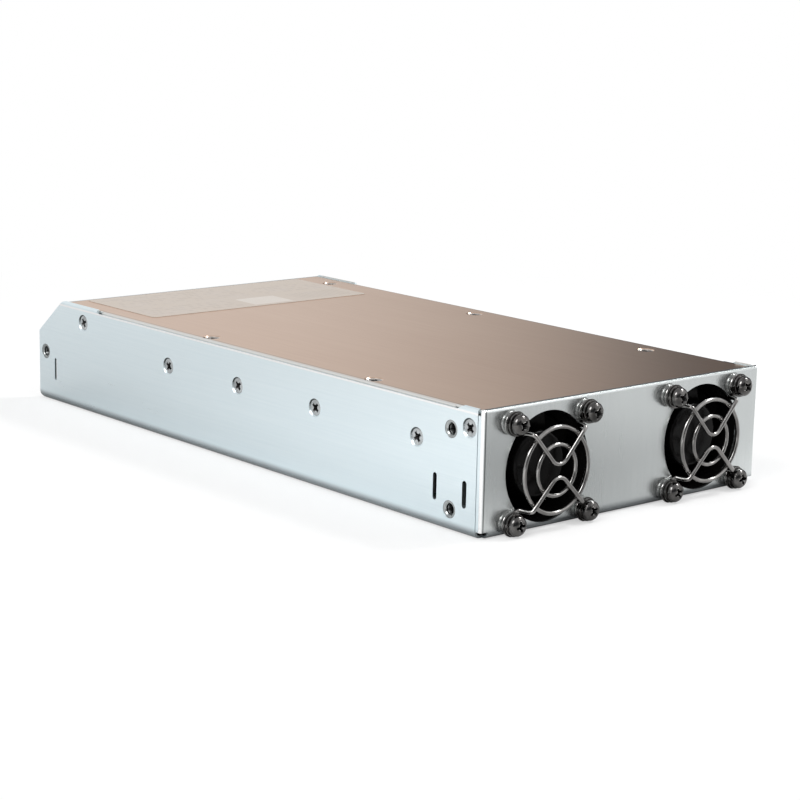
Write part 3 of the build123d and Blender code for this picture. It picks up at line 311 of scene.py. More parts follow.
def warmReflectionCover(name, settings):
    finish, tree, shader, where = startFinish(name, settings["metallic"])
    parts = splitAxes(tree, where)
    across = calc(tree, "ABSOLUTE", parts["X"])
    side, _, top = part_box("top_cover")[1]
    streak, wear = sheetWear(tree, where, settings, (1, settings["along"], 1))
    shade = ramped(tree, wear, rolling["colourSpan"], (0.0, 1.0))
    colour = blendColours(tree, shade, settings["dull"], settings["bright"])
    # painted highlight on the cover's bends and down its sides
    bend = ramped(tree, across, [side - reach for reach in settings["edgeReach"]], (0.0, 1.0))
    below = ramped(tree, parts["Z"], [top - drop for drop in settings["edgeDrop"]], (1.0, 0.0))
    colour = blendColours(tree, calc(tree, "MAXIMUM", bend, below), colour, settings["edge"])
    # painted shade line along the cover's bend
    line = thinLine(tree, across, *[side - reach for reach in settings["lineReach"]])
    line = calc(tree, "MULTIPLY", line, settings["lineShare"])
    colour = blendColours(tree, line, colour, settings["bendLine"])
    rough = sheetRoughness(tree, wear, settings["roughness"])
    finishSheet(tree, shader, where, settings, colour, streak, rough)
    return finish


# Plated screws, washers and inserts
nickelPlate = {"light": (0.58, 0.61, 0.62), "dark": (0.42, 0.44, 0.45), "roughness": (0.20, 0.34)}
insertPlate = {
    "light": (0.48, 0.50, 0.50), "dark": (0.28, 0.30, 0.30), "roughness": (0.18, 0.32),
    "shadeBelow": (0.0615, 0.0632),  # painted shade down in the bore
}
blackPlate = {"light": (0.18, 0.175, 0.17), "dark": (0.10, 0.097, 0.094), "roughness": (0.09, 0.16)}
wirePlate = {"light": (0.42, 0.41, 0.40), "dark": (0.28, 0.272, 0.264), "roughness": (0.10, 0.18)}
# a dark plate for the driver recesses: painted shade
recessShadePlate = {"light": (0.10, 0.10, 0.098), "dark": (0.03, 0.03, 0.03), "roughness": (0.25, 0.40)}
bearingPlate = {"light": (0.66, 0.66, 0.67), "dark": (0.45, 0.45, 0.46), "roughness": (0.14, 0.26)}
statorSteel = {"light": (0.42, 0.42, 0.44), "dark": (0.26, 0.26, 0.28), "roughness": (0.35, 0.5)}
copperFoil = {"light": (0.90, 0.48, 0.30), "dark": (0.68, 0.33, 0.20), "roughness": (0.22, 0.36)}
sinkAlloy = {"light": (0.72, 0.73, 0.74), "dark": (0.56, 0.57, 0.58), "roughness": (0.30, 0.45)}

# Soft clouds and fine pits in the plating
platedGrain = {"clouds": 260.0, "noise": (4.0, 0.6), "pits": 3600.0, "bump": 0.05, "depth": 0.00003}
boreShade = {"shade": (0.02, 0.02, 0.02), "share": 0.93}
cloudSpans = {"colour": (0.35, 0.65), "roughness": (0.3, 0.7)}


def cloudy(tree, where, grain, dark, light, roughness):
    # soft clouds from the dark to the light shade, and from the first roughness to the second
    cloud = noiseAt(tree, where, grain["clouds"], (1, 1, 1), *grain["noise"])
    shade = ramped(tree, cloud, cloudSpans["colour"], (0.0, 1.0))
    rough = ramped(tree, cloud, cloudSpans["roughness"], roughness)
    return blendColours(tree, shade, dark, light), rough


def joinGrain(tree, shader, where, grain, colour, roughness):
    pits = noiseAt(tree, where, grain["pits"])
    joinFinish(tree, shader, colour, roughness, pits, grain["bump"], grain["depth"])


def platedMetal(name, settings):
    finish, tree, shader, where = startFinish(name, metallic=1.0)
    low, high = settings["roughness"]
    colour, rough = cloudy(tree, where, platedGrain, settings["dark"], settings["light"], (high, low))
    if "shadeBelow" in settings:
        across = calc(tree, "ABSOLUTE", splitAxes(tree, where)["X"])
        deep = ramped(tree, across, settings["shadeBelow"], (boreShade["share"], 0.0))
        colour = blendColours(tree, deep, colour, boreShade["shade"])
    joinGrain(tree, shader, where, platedGrain, colour, rough)
    return finish


# Mouldings, boards and other dull pieces
mouldings = {
    "fan_plastic": {
        "light": (0.008, 0.0076, 0.0075), "dark": (0.004, 0.0039, 0.0038), "roughness": (0.14, 0.22),
        "shine": 0.14,
    },
    "moulded_black": {
        "light": (0.032, 0.033, 0.034), "dark": (0.018, 0.018, 0.019), "roughness": (0.38, 0.52),
    },
    "moulded_white": {"light": (0.80, 0.79, 0.75), "dark": (0.71, 0.70, 0.66), "roughness": (0.36, 0.5)},
    "magnet_ferrite": {
        "light": (0.055, 0.052, 0.050), "dark": (0.03, 0.029, 0.028), "roughness": (0.5, 0.7),
    },
    "core_ferrite": {
        "light": (0.075, 0.075, 0.078), "dark": (0.045, 0.045, 0.047), "roughness": (0.5, 0.7),
    },
    "board_laminate": {
        "light": (0.055, 0.23, 0.115), "dark": (0.035, 0.165, 0.08), "roughness": (0.28, 0.4),
    },
    "can_sleeve": {"light": (0.035, 0.05, 0.10), "dark": (0.02, 0.03, 0.07), "roughness": (0.25, 0.4)},
    "film_box": {"light": (0.72, 0.50, 0.10), "dark": (0.62, 0.41, 0.07), "roughness": (0.3, 0.45)},
    "fuse_glass": {"light": (0.70, 0.70, 0.68), "dark": (0.58, 0.58, 0.56), "roughness": (0.1, 0.2)},
    "liner_film": {"light": (0.50, 0.44, 0.28), "dark": (0.42, 0.36, 0.22), "roughness": (0.3, 0.45)},
}
mouldedGrain = {"clouds": 120.0, "noise": (3.0, 0.5), "pits": 2600.0, "bump": 0.12, "depth": 0.00004}
usualShine = 0.5


def mouldedFinish(name, settings):
    shine = settings.get("shine", usualShine)
    finish, tree, shader, where = startFinish(name, Specular_IOR_Level=shine)
    shades = settings["dark"], settings["light"], settings["roughness"]
    colour, rough = cloudy(tree, where, mouldedGrain, *shades)
    joinGrain(tree, shader, where, mouldedGrain, colour, rough)
    return finish


# The bare rating film, with plain fields and short generic dashes where print would be
ratingFilm = {
    "film": (0.475, 0.405, 0.34),
    "filmDull": (0.44, 0.37, 0.31),
    "roughness": (0.34, 0.48),
    "coat": (0.25, 0.18),  # weight and roughness
    "field": (0.575, 0.525, 0.475),
    "fieldShare": 0.8,
    "ink": (0.37, 0.31, 0.265),
    "inkShare": 0.55,
    "rows": 13.0,
    "rowGap": 0.22,
    "rowSlide": 0.37,
    "dashes": 46.0,
    "dashGap": 0.22,
    "dashOver": 0.42,  # of the draw for each dash, so that some are left out
    "bars": 44.0,
    "printed": ((0.03, 0.08, 0.44, 0.40), (0.03, 0.50, 0.60, 0.92), (0.66, 0.45, 0.97, 0.80)),
    "bare": (0.48, 0.06, 0.66, 0.36),  # a plain paler field
    "marks": (0.72, 0.08, 0.96, 0.36),
}
filmGrain = {"clouds": 90.0, "noise": (4.0, 0.5), "pits": 3000.0, "bump": 0.08, "depth": 0.00003}


def insideField(tree, u, v, field):
    left, low, right, high = field
    return allOf(tree, between(tree, u, left, right), between(tree, v, low, high))


def genericDashes(tree, settings, u, v):
    row = calc(tree, "MULTIPLY", v, settings["rows"])
    rowNumber = calc(tree, "FLOOR", row)
    inRow = calc(tree, "PINGPONG", calc(tree, "FRACT", row), 0.5)
    inRow = calc(tree, "GREATER_THAN", inRow, settings["rowGap"])
    slide = calc(tree, "MULTIPLY", rowNumber, settings["rowSlide"])
    dash = calc(tree, "ADD", calc(tree, "MULTIPLY", u, settings["dashes"]), slide)
    cell = addNode(tree, "ShaderNodeCombineXYZ", {0: calc(tree, "FLOOR", dash), 1: rowNumber}).outputs[0]
    chance = addNode(tree, "ShaderNodeTexWhiteNoise", {"Vector": cell}).outputs["Value"]
    chosen = calc(tree, "GREATER_THAN", chance, settings["dashOver"])
    solid = calc(tree, "GREATER_THAN", calc(tree, "FRACT", dash), settings["dashGap"])
    zone = 0.0
    for field in settings["printed"]:
        zone = calc(tree, "ADD", zone, insideField(tree, u, v, field))
    return allOf(tree, chosen, solid, inRow, zone)


def labelFilm(name, settings):
    weight, coatRough = settings["coat"]
    finish, tree, shader, where = startFinish(name, Coat_Weight=weight, Coat_Roughness=coatRough)
    low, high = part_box("rating_label")
    parts = splitAxes(tree, where)
    u = remap(tree, parts["X"], low[0], high[0], 0.0, 1.0)
    v = remap(tree, parts["Y"], low[1], high[1], 0.0, 1.0)
    shades = settings["filmDull"], settings["film"], settings["roughness"]
    colour, rough = cloudy(tree, where, filmGrain, *shades)
    bare = calc(tree, "MULTIPLY", insideField(tree, u, v, settings["bare"]), settings["fieldShare"])
    colour = blendColours(tree, bare, colour, settings["field"])
    stripes = calc(tree, "FRACT", calc(tree, "MULTIPLY", u, settings["bars"]))
    stripes = calc(tree, "GREATER_THAN", stripes, 0.5)
    marks = allOf(tree, insideField(tree, u, v, settings["marks"]), stripes)
    ink = calc(tree, "MAXIMUM", genericDashes(tree, settings, u, v), marks)
    ink = calc(tree, "MULTIPLY", ink, settings["inkShare"])
    colour = blendColours(tree, ink, colour, settings["ink"])
    joinGrain(tree, shader, where, filmGrain, colour, rough)
    return finish


def dressNodes():
    finishes = {
        "case_steel": zincCase("caseZincSheet", caseSheet),
        "cover_steel": warmReflectionCover("coverSheet", coverSheet),
        "label_film": labelFilm("ratingFilm", ratingFilm),
        "nickel_screws": platedMetal("nickelPlate", nickelPlate),
        "insert_steel": platedMetal("insertPlate", insertPlate),
        "black_nickel": platedMetal("blackNickelPlate", blackPlate),
        "recess": platedMetal("recessShadePlate", recessShadePlate),
        "wire": platedMetal("guardWirePlate", wirePlate),
        "bearing_steel": platedMetal("bearingSteel", bearingPlate),
        "stator_steel": platedMetal("statorSteel", statorSteel),
        "copper_wire": platedMetal("copperWire", copperFoil),
        "copper_bar": platedMetal("copperBar", copperFoil),
        "heatsink_aluminium": platedMetal("sinkAlloy", sinkAlloy),
    }
    for slotName, settings in mouldings.items():
        finishes[slotName] = mouldedFinish(slotName.replace("_", " "), settings)
    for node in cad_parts.values():
        for place in node.material_slots:
            slotName = place.material.name.split(".")[0]
            place.material = finishes[slotName]
    return finishes


# Turned and cut fasteners, in millimetres along the screw, outwards from the face it sits on
millimetre = 0.001
fanScrew = {
    "node": "fan_screws",
    "slot": "black_nickel",
    "steps": (
        # height, radius
        (-9.8, 1.8), (-9.2, 1.95), (0.0, 1.95), (0.0, 3.0), (0.12, 3.2), (0.5, 3.32), (1.1, 3.34),
        (1.6, 3.22), (2.05, 2.92), (2.4, 2.48), (2.65, 1.92), (2.8, 1.28), (2.86, 0.6),
    ),
    "cross": {"across": 4.5, "wing": 1.0, "depth": 1.9, "taper": 0.42, "pit": 1.15},
    "spins": (12, 55, 38, 70, 25, 62, 8, 48),
}
wallScrew = {
    "node": "side_screws",
    "slot": "nickel_screws",
    "steps": (
        (-5.4, 1.3), (-5.0, 1.45), (-1.7, 1.45), (-0.52, 2.66), (-0.46, 2.73), (-0.41, 2.71),
        (-0.385, 2.60), (-0.385, 1.2), (-0.385, 0.4),
    ),
    "cross": {"across": 4.2, "wing": 1.15, "depth": 1.15, "taper": 0.45, "pit": 1.05},
    "spins": (47, 35, 52, 41, 58, 30, 12, 65, 40, 22, 50, 37),
}
coverScrew = dict(wallScrew, node="cover_screws", spins=(20, 48, 75, 33, 5))

# How the driver bit cuts, which faces count as its recess, and how edges are rounded
driverBit = {"above": 0.6, "tip": 0.3, "pitShare": 0.9, "pitLift": 0.02, "pitSides": 16}
recessMark = {"beside": 0.08, "under": 0.1, "deepShare": 0.6, "skin": 0.02, "steepUnder": 0.66}
softEdge = {"width": 0.05, "angle": 40, "segments": 2, "smoothUnder": 32}
sameSpot = 1e-6
quarter = math.radians(90)


def solidBoxes(node):
    # lowest and highest corner of each separate solid in a CAD node
    shape = bmesh.new()
    shape.from_mesh(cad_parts[node].data)
    bmesh.ops.remove_doubles(shape, verts=shape.verts, dist=sameSpot)
    boxes, seen = [], set()
    for first in shape.verts:
        if first in seen:
            continue
        seen.add(first)
        waiting, corners = [first], []
        while waiting:
            corner = waiting.pop()
            corners.append(corner.co.copy())
            for edge in corner.link_edges:
                other = edge.other_vert(corner)
                if other not in seen:
                    seen.add(other)
                    waiting.append(other)
        ends = [[end(corner[i] for corner in corners) for i in range(3)] for end in (min, max)]
        boxes.append(ends)
    shape.free()
    return boxes


def deselectAll():
    bpy.ops.object.select_all(action="DESELECT")


def selectOnly(piece):
    deselectAll()
    piece.select_set(True)
    bpy.context.view_layer.objects.active = piece


def joinPieces(pieces, name):
    deselectAll()
    for piece in pieces:
        piece.select_set(True)
    bpy.context.view_layer.objects.active = pieces[0]
    if len(pieces) > 1:
        bpy.ops.object.join()
    joined = bpy.context.object
    joined.name = name
    return joined


def turnOnLathe(name, steps, sides=48):
    deselectAll()
    height, radius = [value * millimetre for value in steps[0]]
    bpy.ops.mesh.primitive_circle_add(
        vertices=sides, radius=radius, fill_type="NGON", location=(0, 0, height))
    piece = bpy.context.object
    piece.name = name
    bpy.ops.object.transform_apply(location=True, rotation=True, scale=True)
    bpy.ops.object.mode_set(mode="EDIT")
    bpy.ops.mesh.select_all(action="SELECT")
    for step in steps[1:]:
        newHeight, newRadius = [value * millimetre for value in step]
        rise = {"value": (0, 0, newHeight - height)}
        bpy.ops.mesh.extrude_region_move(TRANSFORM_OT_translate=rise)
        share = newRadius / radius
        bpy.ops.transform.resize(value=(share, share, 1), center_override=(0, 0, newHeight))
        height, radius = newHeight, newRadius
    bpy.ops.mesh.select_all(action="SELECT")
    bpy.ops.mesh.normals_make_consistent(inside=False)
    bpy.ops.object.mode_set(mode="OBJECT")
    return piece


def cutAway(piece, cutter):
    selectOnly(piece)
    cut = piece.modifiers.new("recess", "BOOLEAN")
    cut.operation = "DIFFERENCE"
    cut.solver = "EXACT"
    cut.object = cutter
    bpy.ops.object.modifier_apply(modifier=cut.name)
    bpy.data.objects.remove(cutter)


def cutCross(piece, cross, top):
    # two tapered wings and a pit in the middle, as a driver bit leaves
    for turn in (0.0, quarter):
        deselectAll()
        bpy.ops.mesh.primitive_cube_add(size=millimetre, location=(0, 0, 0))
        wing = bpy.context.object
        high = cross["depth"] + driverBit["above"]
        wing.scale = (cross["across"], cross["wing"], high)
        wing.location = (0, 0, (top - cross["depth"] + high / 2) * millimetre)
        wing.rotation_euler = (0, 0, turn)
        bpy.ops.object.transform_apply(location=True, rotation=True, scale=True)
        bpy.ops.object.mode_set(mode="EDIT")
        bpy.ops.mesh.select_all(action="DESELECT")
        bpy.ops.object.mode_set(mode="OBJECT")
        for corner in wing.data.vertices:
            corner.select = corner.co.z < top * millimetre
        bpy.ops.object.mode_set(mode="EDIT")
        share = cross["taper"]
        low = (top - cross["depth"]) * millimetre
        bpy.ops.transform.resize(value=(share, share, 1), center_override=(0, 0, low))
        bpy.ops.object.mode_set(mode="OBJECT")
        cutAway(piece, wing)
    deselectAll()
    pit = cross["depth"] * driverBit["pitShare"]
    middle = top - pit / 2 + driverBit["pitLift"]
    bpy.ops.mesh.primitive_cone_add(
        vertices=driverBit["pitSides"], radius1=driverBit["tip"] * millimetre,
        radius2=cross["pit"] * millimetre, depth=pit * millimetre, location=(0, 0, middle * millimetre))
    cutAway(piece, bpy.context.object)


def softenEdges(piece, settings):
    selectOnly(piece)
    bevel = piece.modifiers.new("edges", "BEVEL")
    bevel.width = settings["width"] * millimetre
    bevel.segments = settings["segments"]
    bevel.limit_method = "ANGLE"
    bevel.angle_limit = math.radians(settings["angle"])
    bpy.ops.object.modifier_apply(modifier=bevel.name)
    bpy.ops.object.shade_smooth_by_angle(angle=math.radians(settings["smoothUnder"]))


def markRecess(piece, cross, top):
    # the faces that the driver bit leaves get the second material, a dark plate that paints shade in the
    # recess
    reach = (cross["across"] / 2 + recessMark["beside"]) * millimetre
    floor = (top - cross["depth"] - recessMark["under"]) * millimetre
    deep = (top - cross["depth"] * recessMark["deepShare"]) * millimetre
    skin = (top - recessMark["skin"]) * millimetre
    for face in piece.data.polygons:
        middle = face.center
        inside = math.hypot(middle.x, middle.y) < reach and floor < middle.z < skin
        if inside and (face.normal.z < recessMark["steepUnder"] or middle.z < deep):
            face.material_index = 1


def setInPlace(pattern, spots, name):
    # one copy for each spot: its place, the turn that faces it outwards, and its own spin
    copies = []
    for place, facing, spin in spots:
        selectOnly(pattern)
        bpy.ops.object.duplicate()
        copy = bpy.context.object
        copy.rotation_euler = (0, 0, math.radians(spin))
        bpy.ops.object.transform_apply(location=False, rotation=True, scale=False)
        copy.rotation_euler = facing
        copy.location = place
        bpy.ops.object.transform_apply(location=True, rotation=True, scale=True)
        copies.append(copy)
    piece = joinPieces(copies, name)
    bpy.data.objects.remove(pattern)
    return piece


def makeScrew(settings, name):
    screw = turnOnLathe(name, settings["steps"])
    cutCross(screw, settings["cross"], settings["steps"][-1][0])
    softenEdges(screw, softEdge)
    screw.data.materials.append(finishes[settings["slot"]])
    screw.data.materials.append(finishes["recess"])
    markRecess(screw, settings["cross"], settings["steps"][-1][0])
    return screw


def makeFanScrews(settings):
    spots = []
    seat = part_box("spring_washers")[0][1]
    for (low, high), spin in zip(solidBoxes(settings["node"]), settings["spins"]):
        place = ((low[0] + high[0]) / 2, seat, (low[2] + high[2]) / 2)
        spots.append((place, (quarter, 0, 0), spin))
    return setInPlace(makeScrew(settings, "fanScrew"), spots, "fanScrews")


def wallSpots(node, spins, walls=None):
    # the place and outward turn for each solid of a node, on the walls or on its own outer side
    spots = []
    for (low, high), spin in zip(solidBoxes(node), spins):
        left, right = walls or (low[0], high[0])
        y, z = (low[1] + high[1]) / 2, (low[2] + high[2]) / 2
        if low[0] < 0:
            spots.append(((left, y, z), (0, -quarter, 0), spin))
        else:
            spots.append(((right, y, z), (0, quarter, 0), spin))
    return spots


def makeWallScrews(settings):
    low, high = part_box("chassis_tray")
    spots = wallSpots(settings["node"], settings["spins"], (low[0], high[0]))
    return setInPlace(makeScrew(settings, "wallScrew"), spots, "wallScrews")


def makeCoverScrews(settings):
    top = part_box("top_cover")[1][2]
    spots = []
    for (low, high), spin in zip(solidBoxes(settings["node"]), settings["spins"]):
        spots.append((((low[0] + high[0]) / 2, (low[1] + high[1]) / 2, top), (0, 0, 0), spin))
    return setInPlace(makeScrew(settings, "coverScrew"), spots, "coverScrews")


# Finger guards: two rings and two bent wires each, in millimetres from the fan's axis
# and off the panel
fingerGuard = {
    "nodes": ("finger_guard_left", "finger_guard_right"),
    "slot": "black_nickel",
    "panel": -130.0,
    "axisHeight": 19.8,
    "wire": 0.74,  # radius
    "roundness": 5,
    "smoothUnder": 50,  # degrees
    "rings": (13.8, 8.2),
    "ringSteps": 24,
    "ringOffset": 4.1,
    "barOffset": 5.4,
    "drop": 0.45,
    "tip": 2.2,  # how near the bent wires come to the axis
    "tipRadius": 4.0,
    "legEnd": (10.6, 11.75),
    "hole": 16.0,
    "eyelet": 2.9,
    "eyeletTurn": 300,  # degrees
    "landing": 5.0,  # from the screw's axis, where the wire meets the panel
    "rampStart": (1.5, 0.2),  # handle of the ramp: how far it runs on, and down
    "rampEnd": (0.9, 0.1),
    "steps": {"tip": 8, "leg": 7, "ramp": 12, "eyelet": 24},
}


def roundTip(settings, middle, last):
    # from straight under the tip's middle round to the leg
    radius, height = settings["tipRadius"], settings["barOffset"]
    count = settings["steps"]["tip"]
    points = []
    for step in range(count + 1):
        angle = -quarter + (last + quarter) * step / count
        points.append((radius * math.cos(angle), middle + radius * math.sin(angle), height))
    return points


def rampDown(settings, first, last, along, foot):
    # a smooth fall from the leg's end to the panel
    ahead, down = settings["rampStart"]
    back, up = settings["rampEnd"]
    corners = (
        first,
        (first[0] + along[0] * ahead, first[1] + along[1] * ahead, first[2] - down),
        (last[0] - foot[0] * back, last[1] - foot[1] * back, last[2] + up),
        last,
    )
    count = settings["steps"]["ramp"]
    points = []
    for step in range(count + 1):
        share = step / count
        rest = 1 - share
        weights = (rest ** 3, 3 * share * rest ** 2, 3 * share * share * rest, share ** 3)
        points.append([sum(w * corner[i] for w, corner in zip(weights, corners)) for i in range(3)])
    return points


def layBar(settings, drop, turn):
    # the points of one bent wire, from its middle out to one eyelet
    # turn is 1 above the axis and -1 below
    radius, high, low = settings["tipRadius"], settings["barOffset"], settings["wire"]
    middle = settings["tip"] - drop * turn + radius
    endX, endY = settings["legEnd"]
    reach = math.hypot(endX, endY - middle)
    points = roundTip(settings, middle, math.atan2(endY - middle, endX) - math.acos(radius / reach))
    startX, startY, _ = points[-1]
    along = (endX - startX, endY - startY)
    length = math.hypot(*along)
    along = (along[0] / length, along[1] / length)
    count = settings["steps"]["leg"]
    for step in range(1, count):
        gone = length * step / count
        points.append((startX + along[0] * gone, startY + along[1] * gone, high))
    hole, eyelet = settings["hole"], settings["eyelet"]
    gap = math.hypot(hole - endX, hole - endY)
    heading = math.atan2(hole - endY, hole - endX) - math.asin(eyelet / gap)
    foot = (math.cos(heading), math.sin(heading))
    meet = (hole + foot[1] * eyelet, hole - foot[0] * eyelet)
    back = math.sqrt(settings["landing"] ** 2 - eyelet ** 2)
    land = (meet[0] - foot[0] * back, meet[1] - foot[1] * back, low)
    points += rampDown(settings, (endX, endY, high), land, along, foot)
    points.append((meet[0], meet[1], low))
    begin = math.atan2(meet[1] - hole, meet[0] - hole)
    count = settings["steps"]["eyelet"]
    for step in range(1, count + 1):
        angle = begin + math.radians(settings["eyeletTurn"]) * step / count
        points.append((hole + eyelet * math.cos(angle), hole + eyelet * math.sin(angle), low))
    return [(x, y * turn, z) for x, y, z in points]


def drawWire(points, centre, settings):
    # a wire through the points, as a mesh with its place in its vertices
    deselectAll()
    bpy.ops.curve.primitive_bezier_curve_add(radius=0.01, location=(0, 0, 0))
    wire = bpy.context.object
    wire.data.splines.clear()
    run = wire.data.splines.new("POLY")
    run.points.add(len(points) - 1)
    for spot, (x, y, z) in zip(run.points, points):
        place = (centre + x, settings["panel"] - z, settings["axisHeight"] + y)
        spot.co = (*[value * millimetre for value in place], 1.0)
    wire.data.dimensions = "3D"
    wire.data.bevel_depth = settings["wire"] * millimetre
    wire.data.bevel_resolution = settings["roundness"]
    wire.data.use_fill_caps = True
    bpy.ops.object.convert(target="MESH")
    return bpy.context.object


def drawRing(radius, centre, settings):
    deselectAll()
    front = settings["panel"] - settings["ringOffset"]
    place = (centre, front, settings["axisHeight"] - settings["drop"])
    bpy.ops.curve.primitive_bezier_circle_add(
        radius=radius * millimetre, location=[value * millimetre for value in place],
        rotation=(quarter, 0, 0))
    ring = bpy.context.object
    ring.data.resolution_u = settings["ringSteps"]
    ring.data.bevel_depth = settings["wire"] * millimetre
    ring.data.bevel_resolution = settings["roundness"]
    bpy.ops.object.convert(target="MESH")
    bpy.ops.object.transform_apply(location=True, rotation=True, scale=True)
    return bpy.context.object


def makeGuard(settings, node):
    low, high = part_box(node)
    centre = (low[0] + high[0]) / 2 / millimetre
    parts = [drawRing(radius, centre, settings) for radius in settings["rings"]]
    for turn in (1, -1):
        half = layBar(settings, settings["drop"], turn)
        other = [(-x, y, z) for x, y, z in reversed(half[1:])]
        parts.append(drawWire(other + half, centre, settings))
    guard = joinPieces(parts, "guardWire" + node[len("finger_guard"):])
    bpy.ops.object.mode_set(mode="EDIT")
    bpy.ops.mesh.select_all(action="SELECT")
    bpy.ops.mesh.remove_doubles(threshold=2 * sameSpot)
    bpy.ops.mesh.normals_make_consistent(inside=False)
    bpy.ops.object.mode_set(mode="OBJECT")
    bpy.ops.object.shade_smooth_by_angle(angle=math.radians(settings["smoothUnder"]))
    return guard


# Thread in each insert: a V ridge wound down the bore
insertThread = {
    "slot": "insert_steel",
    "bore": 1.82,
    "crest": 1.6,
    "pitch": 0.7,
    "flank": 0.46,  # half of the ridge's foot, as a share of the pitch
    "turns": 4,
    "steps": 28,  # for each turn
    "start": -3.6,
    "smoothUnder": 30,
    "spins": (15,) * 6,
}


def makeThreads(settings):
    deselectAll()
    bore, crest = settings["bore"] * millimetre, settings["crest"] * millimetre
    pitch = settings["pitch"] * millimetre
    bpy.ops.mesh.primitive_circle_add(vertices=3, radius=pitch / 2, location=(0, 0, 0))
    thread = bpy.context.object
    thread.name = "insertThread"
    half = settings["flank"] * pitch
    corners = ((bore, -half), (bore, half), (crest, 0.0))
    for corner, (across, up) in zip(thread.data.vertices, corners):
        corner.co = (across, 0, settings["start"] * millimetre + up)
    wind = thread.modifiers.new("wind", "SCREW")
    wind.angle = math.radians(360)
    wind.iterations = settings["turns"]
    wind.screw_offset = pitch
    wind.steps = wind.render_steps = settings["steps"]
    wind.use_smooth_shade = False
    bpy.ops.object.modifier_apply(modifier=wind.name)
    bpy.ops.object.mode_set(mode="EDIT")
    bpy.ops.mesh.select_all(action="DESELECT")
    bpy.ops.mesh.select_non_manifold()
    bpy.ops.mesh.edge_face_add()
    bpy.ops.mesh.select_all(action="SELECT")
    bpy.ops.mesh.normals_make_consistent(inside=False)
    bpy.ops.object.mode_set(mode="OBJECT")
    bpy.ops.object.shade_smooth_by_angle(angle=math.radians(settings["smoothUnder"]))
    spots = wallSpots("mounting_inserts", settings["spins"])
    return setInPlace(thread, spots, "insertThreads")


# Floor, sky and lamps
studio = {
    "floorSize": 30.0,
    "floorGlow": (0.50, 1.0),  # share of plain white that the camera sees, near and far
    "glowSpan": (0.15, 0.42),
    "plainFloor": (0.9, 0.9, 0.9, 1),
    "floorAlbedo": (0.77, 0.935),  # painted shade on the floor beside the case, paler further out
    "besideSpan": (0.06, 0.30),
    "alongside": ((-0.05, 0.13), (1.0, 0.69)),  # where along the case it changes, and by how much
    "behind": ((0.18, 0.30), (1.0, 1.12)),
    "floorFront": (0.15, 0.52),  # in front, from the left to the right
    "frontSpan": (-0.03, 0.12),
    # painted light: a paler floor close in front of the panel's foot
    "nearPanel": ((-0.175, -0.14), (1.0, 1.7)),
    "sky": 0.60,
    "skyGloss": (0.88, 0.88, 0.88),
    "highGloss": (0.60, 0.60, 0.61),  # overhead
    "highSpan": (0.45, 0.80),
    "dimGloss": (0.10, 0.105, 0.11),
    "dimUpTo": (0.35, 0.75),
    "nearZero": 0.0001,
    "floorDim": ((0.5, -0.866), (0.45, 0.95)),  # the way it lies, and where it starts and is full
    "skyDim": ((0.10, -0.995), (0.30, 0.72)),
    "paleWall": (0.65, -0.59, 0.48),  # a pale patch that the screws and wires glint with
    "paleSpan": (0.82, 0.92),
    "roomEnd": (
        # bearing in degrees and shade: the room gets darker behind on the right
        (30.0, (0.88, 0.88, 0.88)),
        (36.6, (0.87, 0.87, 0.87)),
        (40.6, (0.70, 0.70, 0.70)),
        (44.4, (0.48, 0.48, 0.48)),
        (46.0, (0.31, 0.325, 0.34)),
        (47.3, (0.13, 0.16, 0.19)),
        (48.6, (0.0, 0.025, 0.05)),
        (52.0, (0.0, 0.0, 0.01)),
    ),
    "roomEndGone": (75, 105),  # degrees
    "roomEndUpTo": (0.55, 0.90),
    "lamps": (
        # name, place, aim, size, watts
        ("keyBox", (-1.15, -0.30, 1.20), (0, 0, 0), 0.9, 13.0),
        ("topBox", (1.05, -0.35, 1.25), (0, 0, 0), 0.45, 11.0),
        ("rightBox", (1.05, -0.98, 1.05), (0, -0.1, 0.02), 0.4, 2.5),
    ),
}


def flatReach(tree, x, y):
    return calc(tree, "SQRT", calc(tree, "MULTIPLY_ADD", x, x, calc(tree, "MULTIPLY", y, y)))


def dimSide(tree, x, y, way, span):
    # 1 where the flat direction of x and y lies along the dim way
    along = calc(tree, "MULTIPLY_ADD", x, way[0], calc(tree, "MULTIPLY", y, way[1]))
    reach = calc(tree, "ADD", flatReach(tree, x, y), studio["nearZero"])
    along = calc(tree, "DIVIDE", along, reach)
    return ramped(tree, along, span, (0.0, 1.0), smooth=True)


